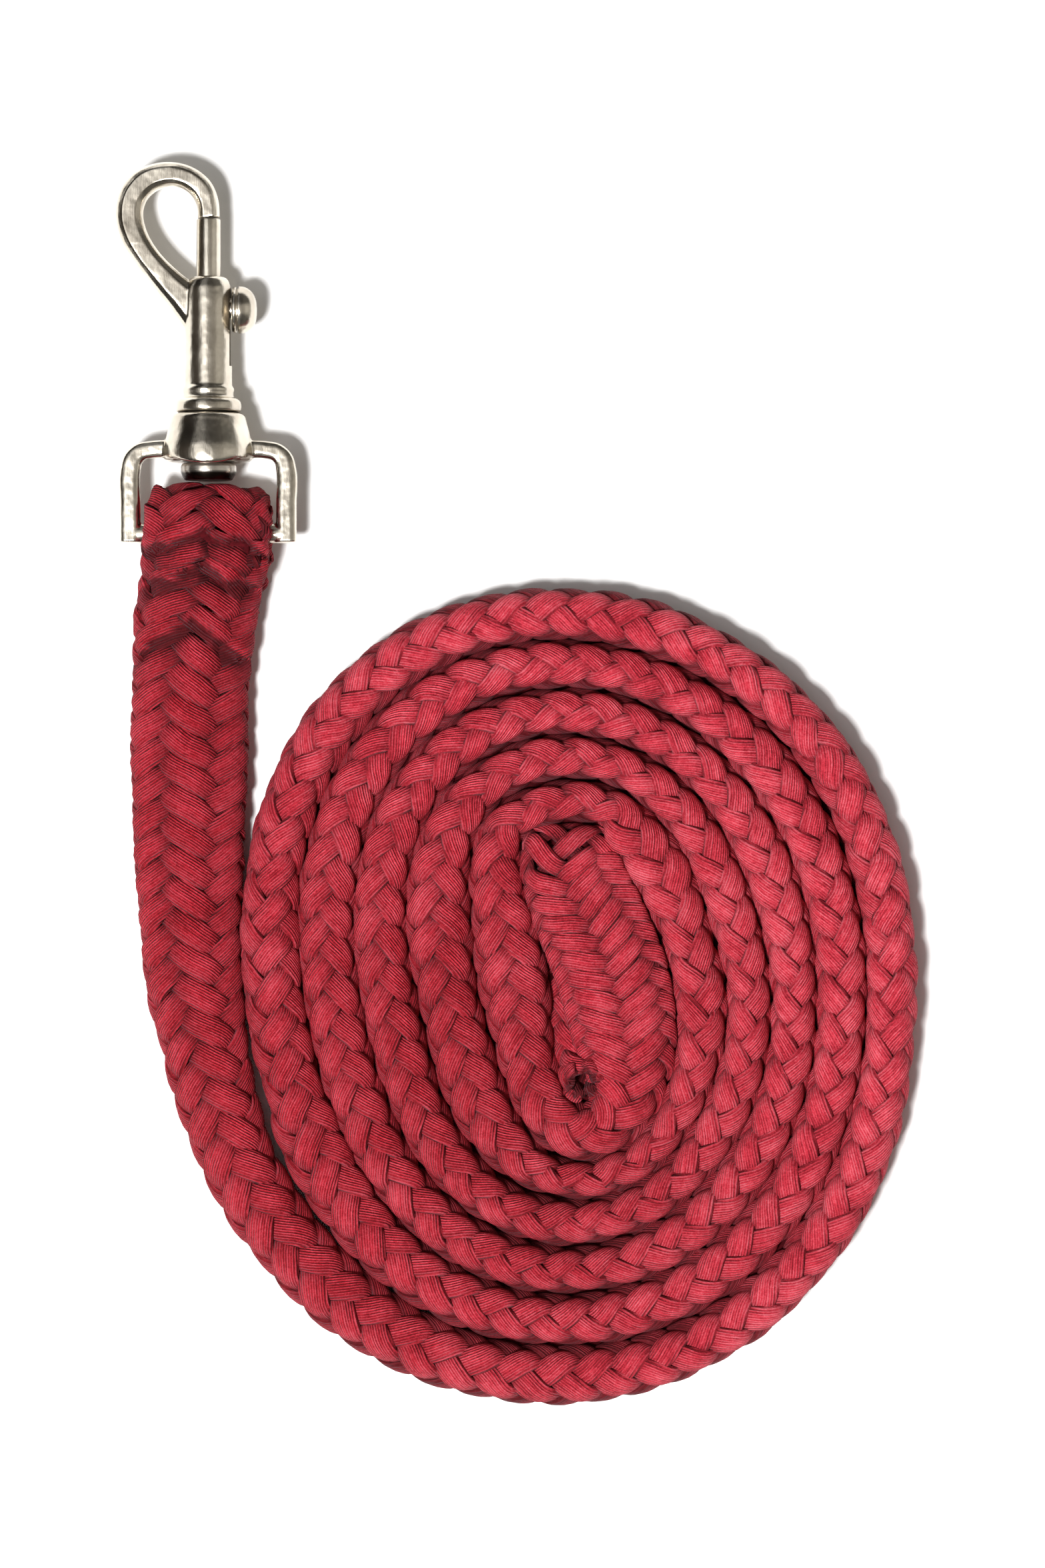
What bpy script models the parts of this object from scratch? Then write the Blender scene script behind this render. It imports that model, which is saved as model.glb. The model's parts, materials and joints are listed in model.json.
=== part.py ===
"""Lead rope with a swivel bolt snap, lying coiled on a flat surface.

Frame: metres, +Z up. The origin is under the middle of the metal snap, on the surface that everything
lies on. +Y runs along the snap towards its hook, and the rope leaves the snap towards -Y.
All design sizes below are in millimetres; u runs across the snap from the stem's axis and v runs along
it from the crossbar's axis.
"""

import math

import bmesh
import bpy
from mathutils import Vector

MM = 0.001
GAP = 0.3  # clearance between pieces that touch

# ---- snap: overall -------------------------------------------------------------------------------
HUB_R_LOW = 10.85  # the hub's lip is what rests on the surface
AXIS_Z = HUB_R_LOW  # height of the stem's axis and of the crossbar's axis
HOOK_LEFT = 22.0  # how far the hook's band reaches left of the stem's axis
BAIL_HALF = 20.9  # half the bail's outer width
HOOK_TOP = 87.9  # top of the hook above the crossbar's axis
BAR_R = 2.15
STEM_X = (HOOK_LEFT - BAIL_HALF) / 2
STEM_Y = -(HOOK_TOP - BAR_R) / 2  # world Y of the crossbar's axis

# ---- snap body -----------------------------------------------------------------------------------
BARREL_R = 5.9
BARREL_TOP = 60.8
SHOULDER_R = 7.9
SHOULDER_LOW, SHOULDER_HIGH = 28.7, 31.9
BORE_R = 3.15
HOOK_THICK = 6.2
SLOT_W = 4.6
SLOT_LOW, SLOT_HIGH = 39.6, 55.6

# ---- gate ----------------------------------------------------------------------------------------
PLUNGER_R = 2.85
PLUNGER_LOW, PLUNGER_TOP = 50.4, 74.5
TRAVEL = 10.5
KNOB_V = 53.0
KNOB_R = 5.6
NECK_R = 1.8

# ---- swivel --------------------------------------------------------------------------------------
HUB_LOW, HUB_HIGH = 16.9, 28.4
HUB_R_TOP = 8.7
HUB_BORE_R = 3.2
RIVET_HEAD_R = 6.6
RIVET_HEAD_LOW, RIVET_HEAD_HIGH = 12.6, 16.6
RIVET_SHANK_R = 2.9
RIVET_SHANK_TOP = 34.0
ARM_W = 5.2
ARM_THICK = 4.8
BAIL_HIGH = 21.9

# ---- spring --------------------------------------------------------------------------------------
SPRING_MEAN_R = 2.3
SPRING_WIRE_R = 0.35
SPRING_TURNS = 7

# ---- rope ----------------------------------------------------------------------------------------
EYE_TOP = 12.2  # the loop over the crossbar, above the crossbar's axis
EYE_LOW = -9.0  # where the eye ends and the spliced stretch begins
EYE_HALF_W = 15.2
SPLICE_HALF_W = 14.2
SPLICE_THICK = 14.0
COIL_CENTRE = (92.8, -107.4)  # u, v
COIL_START = 205.0  # degrees round the centre where the outermost turn begins
OVAL = (  # the spiral's harmonics: cosine, its change per turn, sine, its change per turn
    (-9.0, 0.75, 2.1, 0.0),
    (-6.0, -0.4, -1.05, -0.2),
    (0.85, 0.3, 0.65, -0.15),
    (-0.65, 0.25, 0.1, -0.1),
)
ROPE_TALL = 17.5  # the rope stands on its edge in the coil
TAIL_W, TAIL_THICK = 14.0, 6.0
TAIL_LENGTH = 140.0


def world(u, v, z):
    """A design point in metres, in the world."""
    return Vector(((u + STEM_X) * MM, (v + STEM_Y) * MM, z * MM))


# ---- scene helpers -------------------------------------------------------------------------------


def clear_scene():
    for obj in list(bpy.data.objects):
        bpy.data.objects.remove(obj, do_unlink=True)
    for mesh in list(bpy.data.meshes):
        bpy.data.meshes.remove(mesh)


def material(name, colour, roughness, metallic):
    mat = bpy.data.materials.new(name)
    mat.use_nodes = True
    shader = mat.node_tree.nodes["Principled BSDF"]
    shader.inputs["Base Color"].default_value = (*colour, 1.0)
    shader.inputs["Roughness"].default_value = roughness
    shader.inputs["Metallic"].default_value = metallic
    mat.diffuse_color = (*colour, 1.0)
    return mat


def add_object(name, bm, mat=None):
    bmesh.ops.recalc_face_normals(bm, faces=bm.faces)
    mesh = bpy.data.meshes.new(name)
    bm.to_mesh(mesh)
    bm.free()
    mesh.shade_smooth()
    mesh.set_sharp_from_angle(angle=math.radians(32))
    obj = bpy.data.objects.new(name, mesh)
    bpy.context.scene.collection.objects.link(obj)
    if mat is not None:
        mesh.materials.append(mat)
    return obj


def hide_tool(obj):
    obj.hide_render = True
    obj.display_type = "WIRE"


def boolean(obj, tool, operation):
    mod = obj.modifiers.new(tool.name, "BOOLEAN")
    mod.object = tool
    mod.operation = operation
    mod.solver = "EXACT"
    hide_tool(tool)


# ---- shape helpers -------------------------------------------------------------------------------


def lathe(bm, profile, place, segments):
    """Turns a closed (r, h) profile about an axis. place(r, angle, h) gives the world point.
    A profile that starts and ends at r = 0 gets one point at each end."""
    rings = []
    for r, h in profile:
        if r < 1e-9:
            rings.append([bm.verts.new(place(0.0, 0.0, h))])
        else:
            rings.append([bm.verts.new(place(r, 2 * math.pi * k / segments, h)) for k in range(segments)])
    closed = profile[0][0] > 1e-9
    pairs = list(zip(rings, rings[1:])) + ([(rings[-1], rings[0])] if closed else [])
    for a, b in pairs:
        for k in range(segments):
            j = (k + 1) % segments
            quad = [a[k % len(a)], a[j % len(a)], b[j % len(b)], b[k % len(b)]]
            quad = list(dict.fromkeys(quad))
            if len(quad) > 2:
                bm.faces.new(quad)


def about_stem(r, angle, h):
    return world(r * math.cos(angle), h, AXIS_Z + r * math.sin(angle))


def about_knob(r, angle, h):
    return world(h, KNOB_V + r * math.cos(angle), AXIS_Z + r * math.sin(angle))


def about_bar(r, angle, h):
    return world(h, r * math.cos(angle), AXIS_Z + r * math.sin(angle))


def smooth(points, count):
    """count + 1 points on a Catmull-Rom curve through the tuples, evenly spread over the points."""
    last = len(points) - 1
    out = []
    for i in range(count + 1):
        s = last * i / count
        k = min(int(s), last - 1)
        f = s - k
        p = [points[max(0, min(last, k + d))] for d in (-1, 0, 1, 2)]
        out.append(
            tuple(
                0.5 * (2 * b + (c - a) * f + (2 * a - 5 * b + 4 * c - d) * f * f + (3 * b - a - 3 * c + d) * f**3)
                for a, b, c, d in zip(*p)
            )
        )
    return out


def tangents(points):
    out = []
    for i in range(len(points)):
        a, b = points[max(i - 1, 0)], points[min(i + 1, len(points) - 1)]
        du, dv = b[0] - a[0], b[1] - a[1]
        size = math.hypot(du, dv)
        out.append((du / size, dv / size))
    return out


def oval(half_w, half_h, count, power):
    """A superellipse: power 2 is an ellipse, and more is squarer."""
    ring = []
    for k in range(count):
        a = 2 * math.pi * k / count
        c, s = math.cos(a), math.sin(a)
        ring.append(
            (half_w * math.copysign(abs(c) ** (2 / power), c), half_h * math.copysign(abs(s) ** (2 / power), s))
        )
    return ring


def loft(bm, stations, count, power, z_low=None):
    """A closed solid through flat sections. A station is (u, v, z, direction, half width, half height)."""
    rings = []
    for u, v, z, (du, dv), half_w, half_h in stations:
        ring = []
        for a, b in oval(half_w, half_h, count, power):
            height = z + b
            if z_low is not None:
                height = max(height, z_low)
            ring.append(bm.verts.new(world(u + a * dv, v - a * du, height)))
        rings.append(ring)
    for a, b in zip(rings, rings[1:]):
        for k in range(count):
            j = (k + 1) % count
            bm.faces.new([a[k], a[j], b[j], b[k]])
    bm.faces.new(rings[0][::-1])
    bm.faces.new(rings[-1])
    return rings


def prism(bm, outline, z_low, z_high):
    """A closed extrusion of an outline of (u, v) points."""
    low = [bm.verts.new(world(u, v, z_low)) for u, v in outline]
    high = [bm.verts.new(world(u, v, z_high)) for u, v in outline]
    bm.faces.new(low[::-1])
    bm.faces.new(high)
    for k in range(len(outline)):
        j = (k + 1) % len(outline)
        bm.faces.new([low[k], low[j], high[j], high[k]])


def arc(cu, cv, r, start, end, count):
    return [
        (
            cu + r * math.cos(math.radians(start + (end - start) * k / count)),
            cv + r * math.sin(math.radians(start + (end - start) * k / count)),
        )
        for k in range(count + 1)
    ]


# ---- metal pieces --------------------------------------------------------------------------------


def make_snap_body(mat):
    # The barrel with its chamfered top and the shoulder ring that sits on the hub.
    bm = bmesh.new()
    lathe(
        bm,
        [
            (0.0, SHOULDER_LOW),
            (SHOULDER_R - 0.5, SHOULDER_LOW),
            (SHOULDER_R, SHOULDER_LOW + 0.7),
            (SHOULDER_R - 0.4, SHOULDER_LOW + 2.0),
            (BARREL_R + 0.5, SHOULDER_HIGH - 0.2),
            (BARREL_R, SHOULDER_HIGH + 0.8),
            (BARREL_R, BARREL_TOP - 1.6),
            (BARREL_R - 1.6, BARREL_TOP),
            (0.0, BARREL_TOP),
        ],
        about_stem,
        40,
    )
    body = add_object("snap_body", bm, mat)

    # The hook: a band that leaves the barrel's left side, runs round the eye and comes down on the gate.
    route = [
        (-2.6, 50.4, 3.0),
        (-6.3, 55.4, 3.5),
        (-11.2, 61.5, 3.25),
        (-15.2, 66.4, 3.25),
        (-17.8, 70.9, 3.3),
        (-18.75, 75.8, 3.25),
        (-17.9, 80.0, 3.3),
        (-14.9, 83.4, 3.3),
        (-10.9, 84.95, 2.95),
        (-7.2, 84.95, 2.8),
        (-4.0, 83.8, 2.85),
        (-1.6, 81.5, 2.8),
        (-0.3, 78.6, 2.65),
        (0.1, 74.8, 2.6),
    ]
    points = smooth(route, 34)
    turn = tangents(points)
    turn[-1] = (0.0, -1.0)
    bm = bmesh.new()
    loft(bm, [(u, v, AXIS_Z, d, w, HOOK_THICK / 2) for (u, v, w), d in zip(points, turn)], 14, 2.8)
    hook = add_object("hook_band", bm)
    boolean(body, hook, "UNION")

    # The bore for the gate's plunger, its spring and the rivet's shank.
    bm = bmesh.new()
    lathe(
        bm,
        [(0.0, SHOULDER_LOW - 1), (BORE_R, SHOULDER_LOW - 1), (BORE_R, BARREL_TOP + 6), (0.0, BARREL_TOP + 6)],
        about_stem,
        28,
    )
    boolean(body, add_object("barrel_bore", bm), "DIFFERENCE")

    # The slot that the thumb knob's neck slides in.
    half = SLOT_W / 2
    outline = arc(0, SLOT_HIGH - half, half, 0, 180, 8) + arc(0, SLOT_LOW + half, half, 180, 360, 8)
    bm = bmesh.new()
    near = [bm.verts.new(world(0.0, v, AXIS_Z + z)) for z, v in outline]
    far = [bm.verts.new(world(BARREL_R + 3, v, AXIS_Z + z)) for z, v in outline]
    bm.faces.new(near[::-1])
    bm.faces.new(far)
    for k in range(len(outline)):
        j = (k + 1) % len(outline)
        bm.faces.new([near[k], near[j], far[j], far[k]])
    boolean(body, add_object("knob_slot", bm), "DIFFERENCE")
    return body


def make_plunger(mat):
    bm = bmesh.new()
    lathe(
        bm,
        [
            (0.0, PLUNGER_LOW),
            (PLUNGER_R - 0.3, PLUNGER_LOW),
            (PLUNGER_R, PLUNGER_LOW + 0.3),
            (PLUNGER_R, PLUNGER_TOP - 0.3),
            (PLUNGER_R - 0.3, PLUNGER_TOP),
            (0.0, PLUNGER_TOP),
        ],
        about_stem,
        28,
    )
    plunger = add_object("gate_plunger", bm, mat)
    bm = bmesh.new()
    socket_r = NECK_R + 0.25
    lathe(bm, [(0.0, 0.0), (socket_r, 0.0), (socket_r, 5.0), (0.0, 5.0)], about_knob, 16)
    boolean(plunger, add_object("neck_socket", bm), "DIFFERENCE")
    return plunger


def make_knob(mat):
    collar = BARREL_R + 0.35
    base = collar + 1.6
    dome = [
        (KNOB_R * math.cos(math.radians(a)), base + 3.7 * math.sin(math.radians(a))) for a in (0, 18, 36, 54, 72)
    ]
    bm = bmesh.new()
    lathe(
        bm,
        [
            (0.0, GAP),
            (NECK_R, GAP),
            (NECK_R, collar),
            (KNOB_R - 0.25, collar),
            (KNOB_R - 0.25, collar + 0.95),
            (KNOB_R - 1.3, collar + 0.95),
            (KNOB_R - 1.3, base - 0.1),
            (KNOB_R - 0.1, base - 0.1),
            *dome,
            (0.0, base + 3.7),
        ],
        about_knob,
        28,
    )
    return add_object("thumb_knob", bm, mat)


def make_spring(mat):
    low = RIVET_SHANK_TOP + 0.3 + SPRING_WIRE_R
    high = PLUNGER_LOW - 0.3 - SPRING_WIRE_R
    steps = SPRING_TURNS * 12
    bm = bmesh.new()
    rings = []
    for k in range(steps + 1):
        s = k / steps
        # The first and last turns lie closer, as on a closed-end spring.
        ease = s + 0.085 * math.sin(2 * math.pi * s)
        h = low + (high - low) * (s * 0.5 + (2 * s - ease) * 0.5)
        a = 2 * math.pi * SPRING_TURNS * s
        ring = []
        for j in range(6):
            b = 2 * math.pi * j / 6
            r = SPRING_MEAN_R + SPRING_WIRE_R * math.cos(b)
            ring.append(bm.verts.new(about_stem(r, a, h + SPRING_WIRE_R * math.sin(b))))
        rings.append(ring)
    for a, b in zip(rings, rings[1:]):
        for j in range(6):
            i = (j + 1) % 6
            bm.faces.new([a[j], a[i], b[i], b[j]])
    bm.faces.new(rings[0][::-1])
    bm.faces.new(rings[-1])
    return add_object("return_spring", bm, mat)


def make_rivet(mat):
    bm = bmesh.new()
    lathe(
        bm,
        [
            (0.0, RIVET_HEAD_LOW),
            (RIVET_HEAD_R - 1.0, RIVET_HEAD_LOW),
            (RIVET_HEAD_R - 0.5, RIVET_HEAD_LOW + 0.4),
            (RIVET_HEAD_R - 0.5, RIVET_HEAD_LOW + 1.4),
            (RIVET_HEAD_R, RIVET_HEAD_LOW + 1.5),
            (RIVET_HEAD_R, RIVET_HEAD_HIGH),
            (RIVET_SHANK_R, RIVET_HEAD_HIGH),
            (RIVET_SHANK_R, RIVET_SHANK_TOP),
            (0.0, RIVET_SHANK_TOP),
        ],
        about_stem,
        32,
    )
    return add_object("swivel_rivet", bm, mat)


def make_bail(mat):
    # The bell-shaped hub, turned about the stem. Its ring of points includes the lowest one.
    bm = bmesh.new()
    lathe(
        bm,
        [
            (HUB_BORE_R, HUB_LOW),
            (HUB_R_LOW - 1.4, HUB_LOW),
            (HUB_R_LOW, HUB_LOW + 1.1),
            (HUB_R_LOW - 0.25, HUB_LOW + 3.0),
            (HUB_R_LOW - 1.2, HUB_LOW + 7.0),
            (HUB_R_TOP, HUB_HIGH - 0.8),
            (HUB_R_TOP - 0.8, HUB_HIGH),
            (HUB_BORE_R, HUB_HIGH),
        ],
        about_stem,
        48,
    )
    bail = add_object("swivel_bail", bm, mat)

    # The two arms, one at each side of the hub, each a flat bent bar.
    inner = BAIL_HALF - ARM_W
    for side, name in ((-1, "arm_left"), (1, "arm_right")):
        outer = arc(BAIL_HALF - 6.5, BAIL_HIGH - 6.5, 6.5, 90, 0, 6)
        outline = (
            [(HUB_R_LOW - 4.0, BAIL_HIGH)]
            + outer
            + [(BAIL_HALF, -BAR_R + 0.8), (BAIL_HALF - 0.8, -BAR_R)]
            + [(inner, -BAR_R), (inner, HUB_LOW - 1.7)]
            + [(inner - 0.5, HUB_LOW - 0.2), (inner - 1.7, HUB_LOW + 0.3)]
            + [(HUB_R_LOW - 4.0, HUB_LOW + 0.3)]
        )
        outline = [(side * u, v) for u, v in outline]
        if side > 0:
            outline.reverse()
        bm = bmesh.new()
        prism(bm, outline, AXIS_Z - ARM_THICK / 2, AXIS_Z + ARM_THICK / 2)
        boolean(bail, add_object(name, bm), "UNION")

    # The crossbar that the rope is looped on.
    bm = bmesh.new()
    reach = BAIL_HALF - 1.0
    lathe(bm, [(0.0, -reach), (BAR_R, -reach), (BAR_R, reach), (0.0, reach)], about_bar, 20)
    boolean(bail, add_object("crossbar", bm), "UNION")
    return bail


# ---- rope ----------------------------------------------------------------------------------------


def coil_radius(turned):
    """Distance of the rope's centreline from the coil's centre after turning this many degrees.
    It is an oval spiral: it loses about 13 mm a turn, the second harmonic makes it taller than wide, and
    the others hold its lean. It starts wide, because the rope runs in straight from the splice."""
    a, t = math.radians(turned), (turned - 200) / 360
    r = 89.4 - 13.26 * t + 0.26 * t * t + 4.8 * math.exp(-(turned - 200) / 40)
    for n, (even, even_t, odd, odd_t) in enumerate(OVAL, 1):
        r += (even + even_t * t) * math.cos(n * a) + (odd + odd_t * t) * math.sin(n * a)
    return r


def coil_point(turned, offset=0.0):
    a, r = math.radians(turned), coil_radius(turned) + offset
    return COIL_CENTRE[0] + r * math.cos(a), COIL_CENTRE[1] + r * math.sin(a)


def coil_half_width(turned):
    """Half the outermost turn's width: wide where the splice ends and narrower as it goes round."""
    return 6.2 + 2.8 * math.exp(-((max(turned - COIL_START, 0.0) / 50.0) ** 2))


def splice_route():
    """(u, v, z, half width, half height) down the spliced stretch and into the coil's first turn."""
    end = coil_point(COIL_START - 0.3)
    return [
        (-1.2, EYE_LOW - GAP, AXIS_Z - 0.9, SPLICE_HALF_W + 0.6, 9.2),
        (-2.8, -17.5, 8.6, SPLICE_HALF_W + 0.7, 8.4),
        (-4.2, -31.0, 7.3, SPLICE_HALF_W + 0.3, SPLICE_THICK / 2),
        (-4.7, -46.0, 7.0, SPLICE_HALF_W, SPLICE_THICK / 2),
        (-4.8, -61.5, 7.0, SPLICE_HALF_W - 0.3, SPLICE_THICK / 2),
        (-4.8, -77.0, 7.1, SPLICE_HALF_W - 0.8, 7.1),
        (-4.5, -92.5, 7.2, SPLICE_HALF_W - 1.7, 7.2),
        (-3.4, -107.4, 7.4, 11.6, 7.4),
        (-0.6, -124.0, 7.8, 10.3, 7.8),
        (3.6, -139.9, 8.1, 9.5, 8.1),
        (*end, 8.4, 9.1, 8.4),
    ]


def splice_stations(grow=0.0, extra=0.0):
    points = smooth(splice_route(), 34)
    turn = tangents([(p[0], p[1]) for p in points])
    for k in range(4):  # it starts square to the snap, so that its end lies flat against the eye's
        du, dv = turn[k][0] * k / 4, turn[k][1] * k / 4 - (1 - k / 4)
        turn[k] = (du / math.hypot(du, dv), dv / math.hypot(du, dv))
    stations = [(u, v, z, d, w + grow, h + grow) for (u, v, z, w, h), d in zip(points, turn)]
    if extra:
        u, v, z, (du, dv), w, h = stations[-1]
        stations.append((u + du * extra, v + dv * extra, z, (du, dv), w, h))
    return stations


def make_eye(mat):
    """The loop round the crossbar: wide, round over the bar, with soft shoulders and a bore for the bar."""
    rows = []
    steps = 12
    for k in range(steps + 1):
        s = k / steps
        v = EYE_LOW + (EYE_TOP - EYE_LOW) * math.sin(s * math.pi / 2)
        rise = max(v, 0.0) / EYE_TOP
        half_h = max(10.4 * math.sqrt(max(1 - rise**2, 0.0)), 2.6) if v > 0 else 9.4 + 1.0 * (1 - v / EYE_LOW)
        half_w = EYE_HALF_W - 4.6 * rise**3
        drop = 0.9 * min(max(-v, 0.0) / -EYE_LOW, 1.0)
        lean = min(max(-v - 3.0, 0.0) / 6.0, 1.0)  # the rope leans left once it is clear of the arms
        rows.append((-1.2 * lean, v, AXIS_Z - drop, (0.0, -1.0), half_w, half_h))
    rows.reverse()
    bm = bmesh.new()
    loft(bm, rows, 20, 2.6, z_low=0.0)
    eye = add_object("rope_eye", bm, mat)
    bm = bmesh.new()
    r, reach = BAR_R + GAP, EYE_HALF_W + 4
    lathe(bm, [(0.0, -reach), (r, -reach), (r, reach), (0.0, reach)], about_bar, 20)
    boolean(eye, add_object("bar_clearance", bm), "DIFFERENCE")
    return eye


def tail_stations(grow=0.0):
    """The buried tail follows the splice's middle and stops inside its taper."""
    out, run, last = [], 0.0, None
    for u, v, z, d, w, h in splice_stations():
        if last is not None:
            run += math.hypot(u - last[0], v - last[1])
        last = (u, v)
        if run > TAIL_LENGTH:
            break
        thin = 1.0 - 0.45 * max(run - 95.0, 0.0) / 45.0
        out.append((u, v, z, d, TAIL_W / 2 * thin + grow, TAIL_THICK / 2 * thin + grow))
    return out


def make_splice(mat):
    """The doubled stretch: the braid's outer sleeve, hollow where the tail runs, open at the eye."""
    bm = bmesh.new()
    loft(bm, splice_stations(), 20, 2.3, z_low=0.0)
    splice = add_object("rope_splice", bm, mat)
    stations = tail_stations(grow=GAP)
    u, v, z, (du, dv), w, h = stations[0]
    stations.insert(0, (u - du * 2, v - dv * 2, z, (du, dv), w, h))
    u, v, z, (du, dv), w, h = stations[-1]
    stations.append((u + du * GAP, v + dv * GAP, z, (du, dv), w, h))
    bm = bmesh.new()
    loft(bm, stations, 12, 2.0)
    boolean(splice, add_object("tail_space", bm), "DIFFERENCE")
    return splice


def make_tail(mat):
    bm = bmesh.new()
    loft(bm, tail_stations(), 12, 2.0)
    return add_object("rope_tail", bm, mat)


def make_coil(mat):
    """The coil's outer shape: the outermost turn's outside all the way round, and a step where the
    splice runs in. Its underside is flat, and its top edge is rounded like the rope."""
    outline = []
    steps = 84
    for k in range(steps):
        turned = COIL_START - 30 + (360.0 - 0.001) * k / steps
        if turned < COIL_START:  # the next turn in, beside the splice
            outline.append(coil_point(turned + 360, 7.4))
        else:
            outline.append(coil_point(turned, coil_half_width(turned)))
    # Rounded in section: three rings up the wall, each a little further in or out.
    rows = [(1.6, 0.0), (0.2, 3.6), (0.0, 8.6), (0.9, 13.6), (3.4, ROPE_TALL)]
    bm = bmesh.new()
    rings = []
    for inset, z in rows:
        ring = []
        for u, v in outline:
            du, dv = u - COIL_CENTRE[0], v - COIL_CENTRE[1]
            r = math.hypot(du, dv)
            f = (r - inset) / r
            ring.append(bm.verts.new(world(COIL_CENTRE[0] + du * f, COIL_CENTRE[1] + dv * f, z)))
        rings.append(ring)
    for a, b in zip(rings, rings[1:]):
        for k in range(len(a)):
            j = (k + 1) % len(a)
            bm.faces.new([a[k], a[j], b[j], b[k]])
    bm.faces.new(rings[0][::-1])
    bm.faces.new(rings[-1])
    coil = add_object("rope_coil", bm, mat)

    bm = bmesh.new()
    loft(bm, [(u, v, z + 0.3, d, w, h + 0.6) for u, v, z, d, w, h in splice_stations(GAP, GAP)], 20, 2.3)
    boolean(coil, add_object("splice_room", bm), "DIFFERENCE")
    return coil


def main():
    clear_scene()
    nickel = material("nickel_plate", (0.72, 0.70, 0.66), 0.18, 1.0)
    nickel_gate = material("nickel_gate", (0.74, 0.72, 0.68), 0.16, 1.0)
    nickel_knob = material("nickel_knob", (0.70, 0.68, 0.63), 0.20, 1.0)
    steel_rivet = material("rivet_steel", (0.60, 0.57, 0.52), 0.26, 1.0)
    nickel_bail = material("nickel_bail", (0.71, 0.69, 0.65), 0.20, 1.0)
    spring_wire = material("spring_steel", (0.45, 0.45, 0.46), 0.35, 1.0)
    rope_light = material("rope_red", (0.50, 0.045, 0.065), 0.92, 0.0)
    rope_dark = material("rope_red_splice", (0.42, 0.028, 0.045), 0.92, 0.0)
    rope_inner = material("rope_red_tail", (0.40, 0.03, 0.05), 0.92, 0.0)
    rope_loop = material("rope_red_eye", (0.44, 0.03, 0.05), 0.92, 0.0)

    swivel = bpy.data.objects.new("swivel_axis", None)
    swivel.location = world(0, HUB_HIGH, AXIS_Z)
    hinge = bpy.data.objects.new("crossbar_axis", None)
    hinge.location = world(0, 0, AXIS_Z)
    for empty in (swivel, hinge):
        empty.empty_display_size = 0.01
        bpy.context.scene.collection.objects.link(empty)

    body = make_snap_body(nickel)
    plunger = make_plunger(nickel_gate)
    knob = make_knob(nickel_knob)
    spring = make_spring(spring_wire)
    rivet = make_rivet(steel_rivet)
    bail = make_bail(nickel_bail)
    make_eye(rope_loop)
    make_splice(rope_dark)
    make_tail(rope_inner)
    make_coil(rope_light)

    # The snap turns on the stem, the bail swings on the crossbar, and the knob goes with the plunger.
    bpy.context.view_layer.update()
    for child, parent in (
        (body, swivel),
        (spring, swivel),
        (rivet, swivel),
        (plunger, swivel),
        (bail, hinge),
        (swivel, hinge),
        (knob, plunger),
    ):
        child.parent = parent
        child.matrix_parent_inverse = parent.matrix_world.inverted()
    bpy.context.view_layer.update()


main()
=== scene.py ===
"""The looks of the braided lead rope and its swivel bolt snap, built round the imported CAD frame.

Lengths are in millimetres until a mesh is made. u runs across the snap from its stem's axis, v along it from
the crossbar's axis, and z is the height above the surface that everything lies on.
"""

import json
import math

import bpy
import numpy as np
from mathutils import Matrix, Vector

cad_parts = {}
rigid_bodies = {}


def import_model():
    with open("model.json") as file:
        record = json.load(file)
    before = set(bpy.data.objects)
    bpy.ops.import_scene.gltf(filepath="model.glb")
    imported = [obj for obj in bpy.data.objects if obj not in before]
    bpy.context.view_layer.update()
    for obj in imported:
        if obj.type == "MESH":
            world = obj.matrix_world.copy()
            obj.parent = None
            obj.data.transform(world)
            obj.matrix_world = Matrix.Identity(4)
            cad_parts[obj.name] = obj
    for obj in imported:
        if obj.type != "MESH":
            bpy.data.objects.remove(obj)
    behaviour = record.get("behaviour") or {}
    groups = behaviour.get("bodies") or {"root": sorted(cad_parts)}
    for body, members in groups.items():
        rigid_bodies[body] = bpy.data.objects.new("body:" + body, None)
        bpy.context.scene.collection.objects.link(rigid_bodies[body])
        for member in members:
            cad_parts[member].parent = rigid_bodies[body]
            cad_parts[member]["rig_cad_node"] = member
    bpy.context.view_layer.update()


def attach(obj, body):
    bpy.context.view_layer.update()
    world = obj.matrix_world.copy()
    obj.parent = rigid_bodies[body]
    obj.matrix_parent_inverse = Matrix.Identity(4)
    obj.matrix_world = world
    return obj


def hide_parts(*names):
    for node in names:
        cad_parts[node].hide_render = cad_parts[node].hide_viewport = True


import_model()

MM = 0.001
STEM_X, STEM_Y = 0.55, -42.875
AXIS_Z = 10.85
BAR_R = 2.15


def world(u, v, z):
    return (u + STEM_X, v + STEM_Y, z)


# ==== camera ========================================================================================

camera_data = bpy.data.cameras.new("camera")
camera_data.sensor_fit = "VERTICAL"
camera_data.sensor_height = 36.0
camera_data.lens = 116.3
camera_data.clip_start, camera_data.clip_end = 0.05, 10.0
camera = bpy.data.objects.new("camera", camera_data)
camera.location = (0.07504, -0.10227, 1.212)
bpy.context.scene.collection.objects.link(camera)
bpy.context.scene.camera = camera
bpy.context.scene.view_settings.view_transform = "Standard"
bpy.context.scene.view_settings.look = "None"


# ==== small helpers =================================================================================


def unit(a):
    return a / np.maximum(np.linalg.norm(a, axis=-1, keepdims=True), 1e-12)


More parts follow.
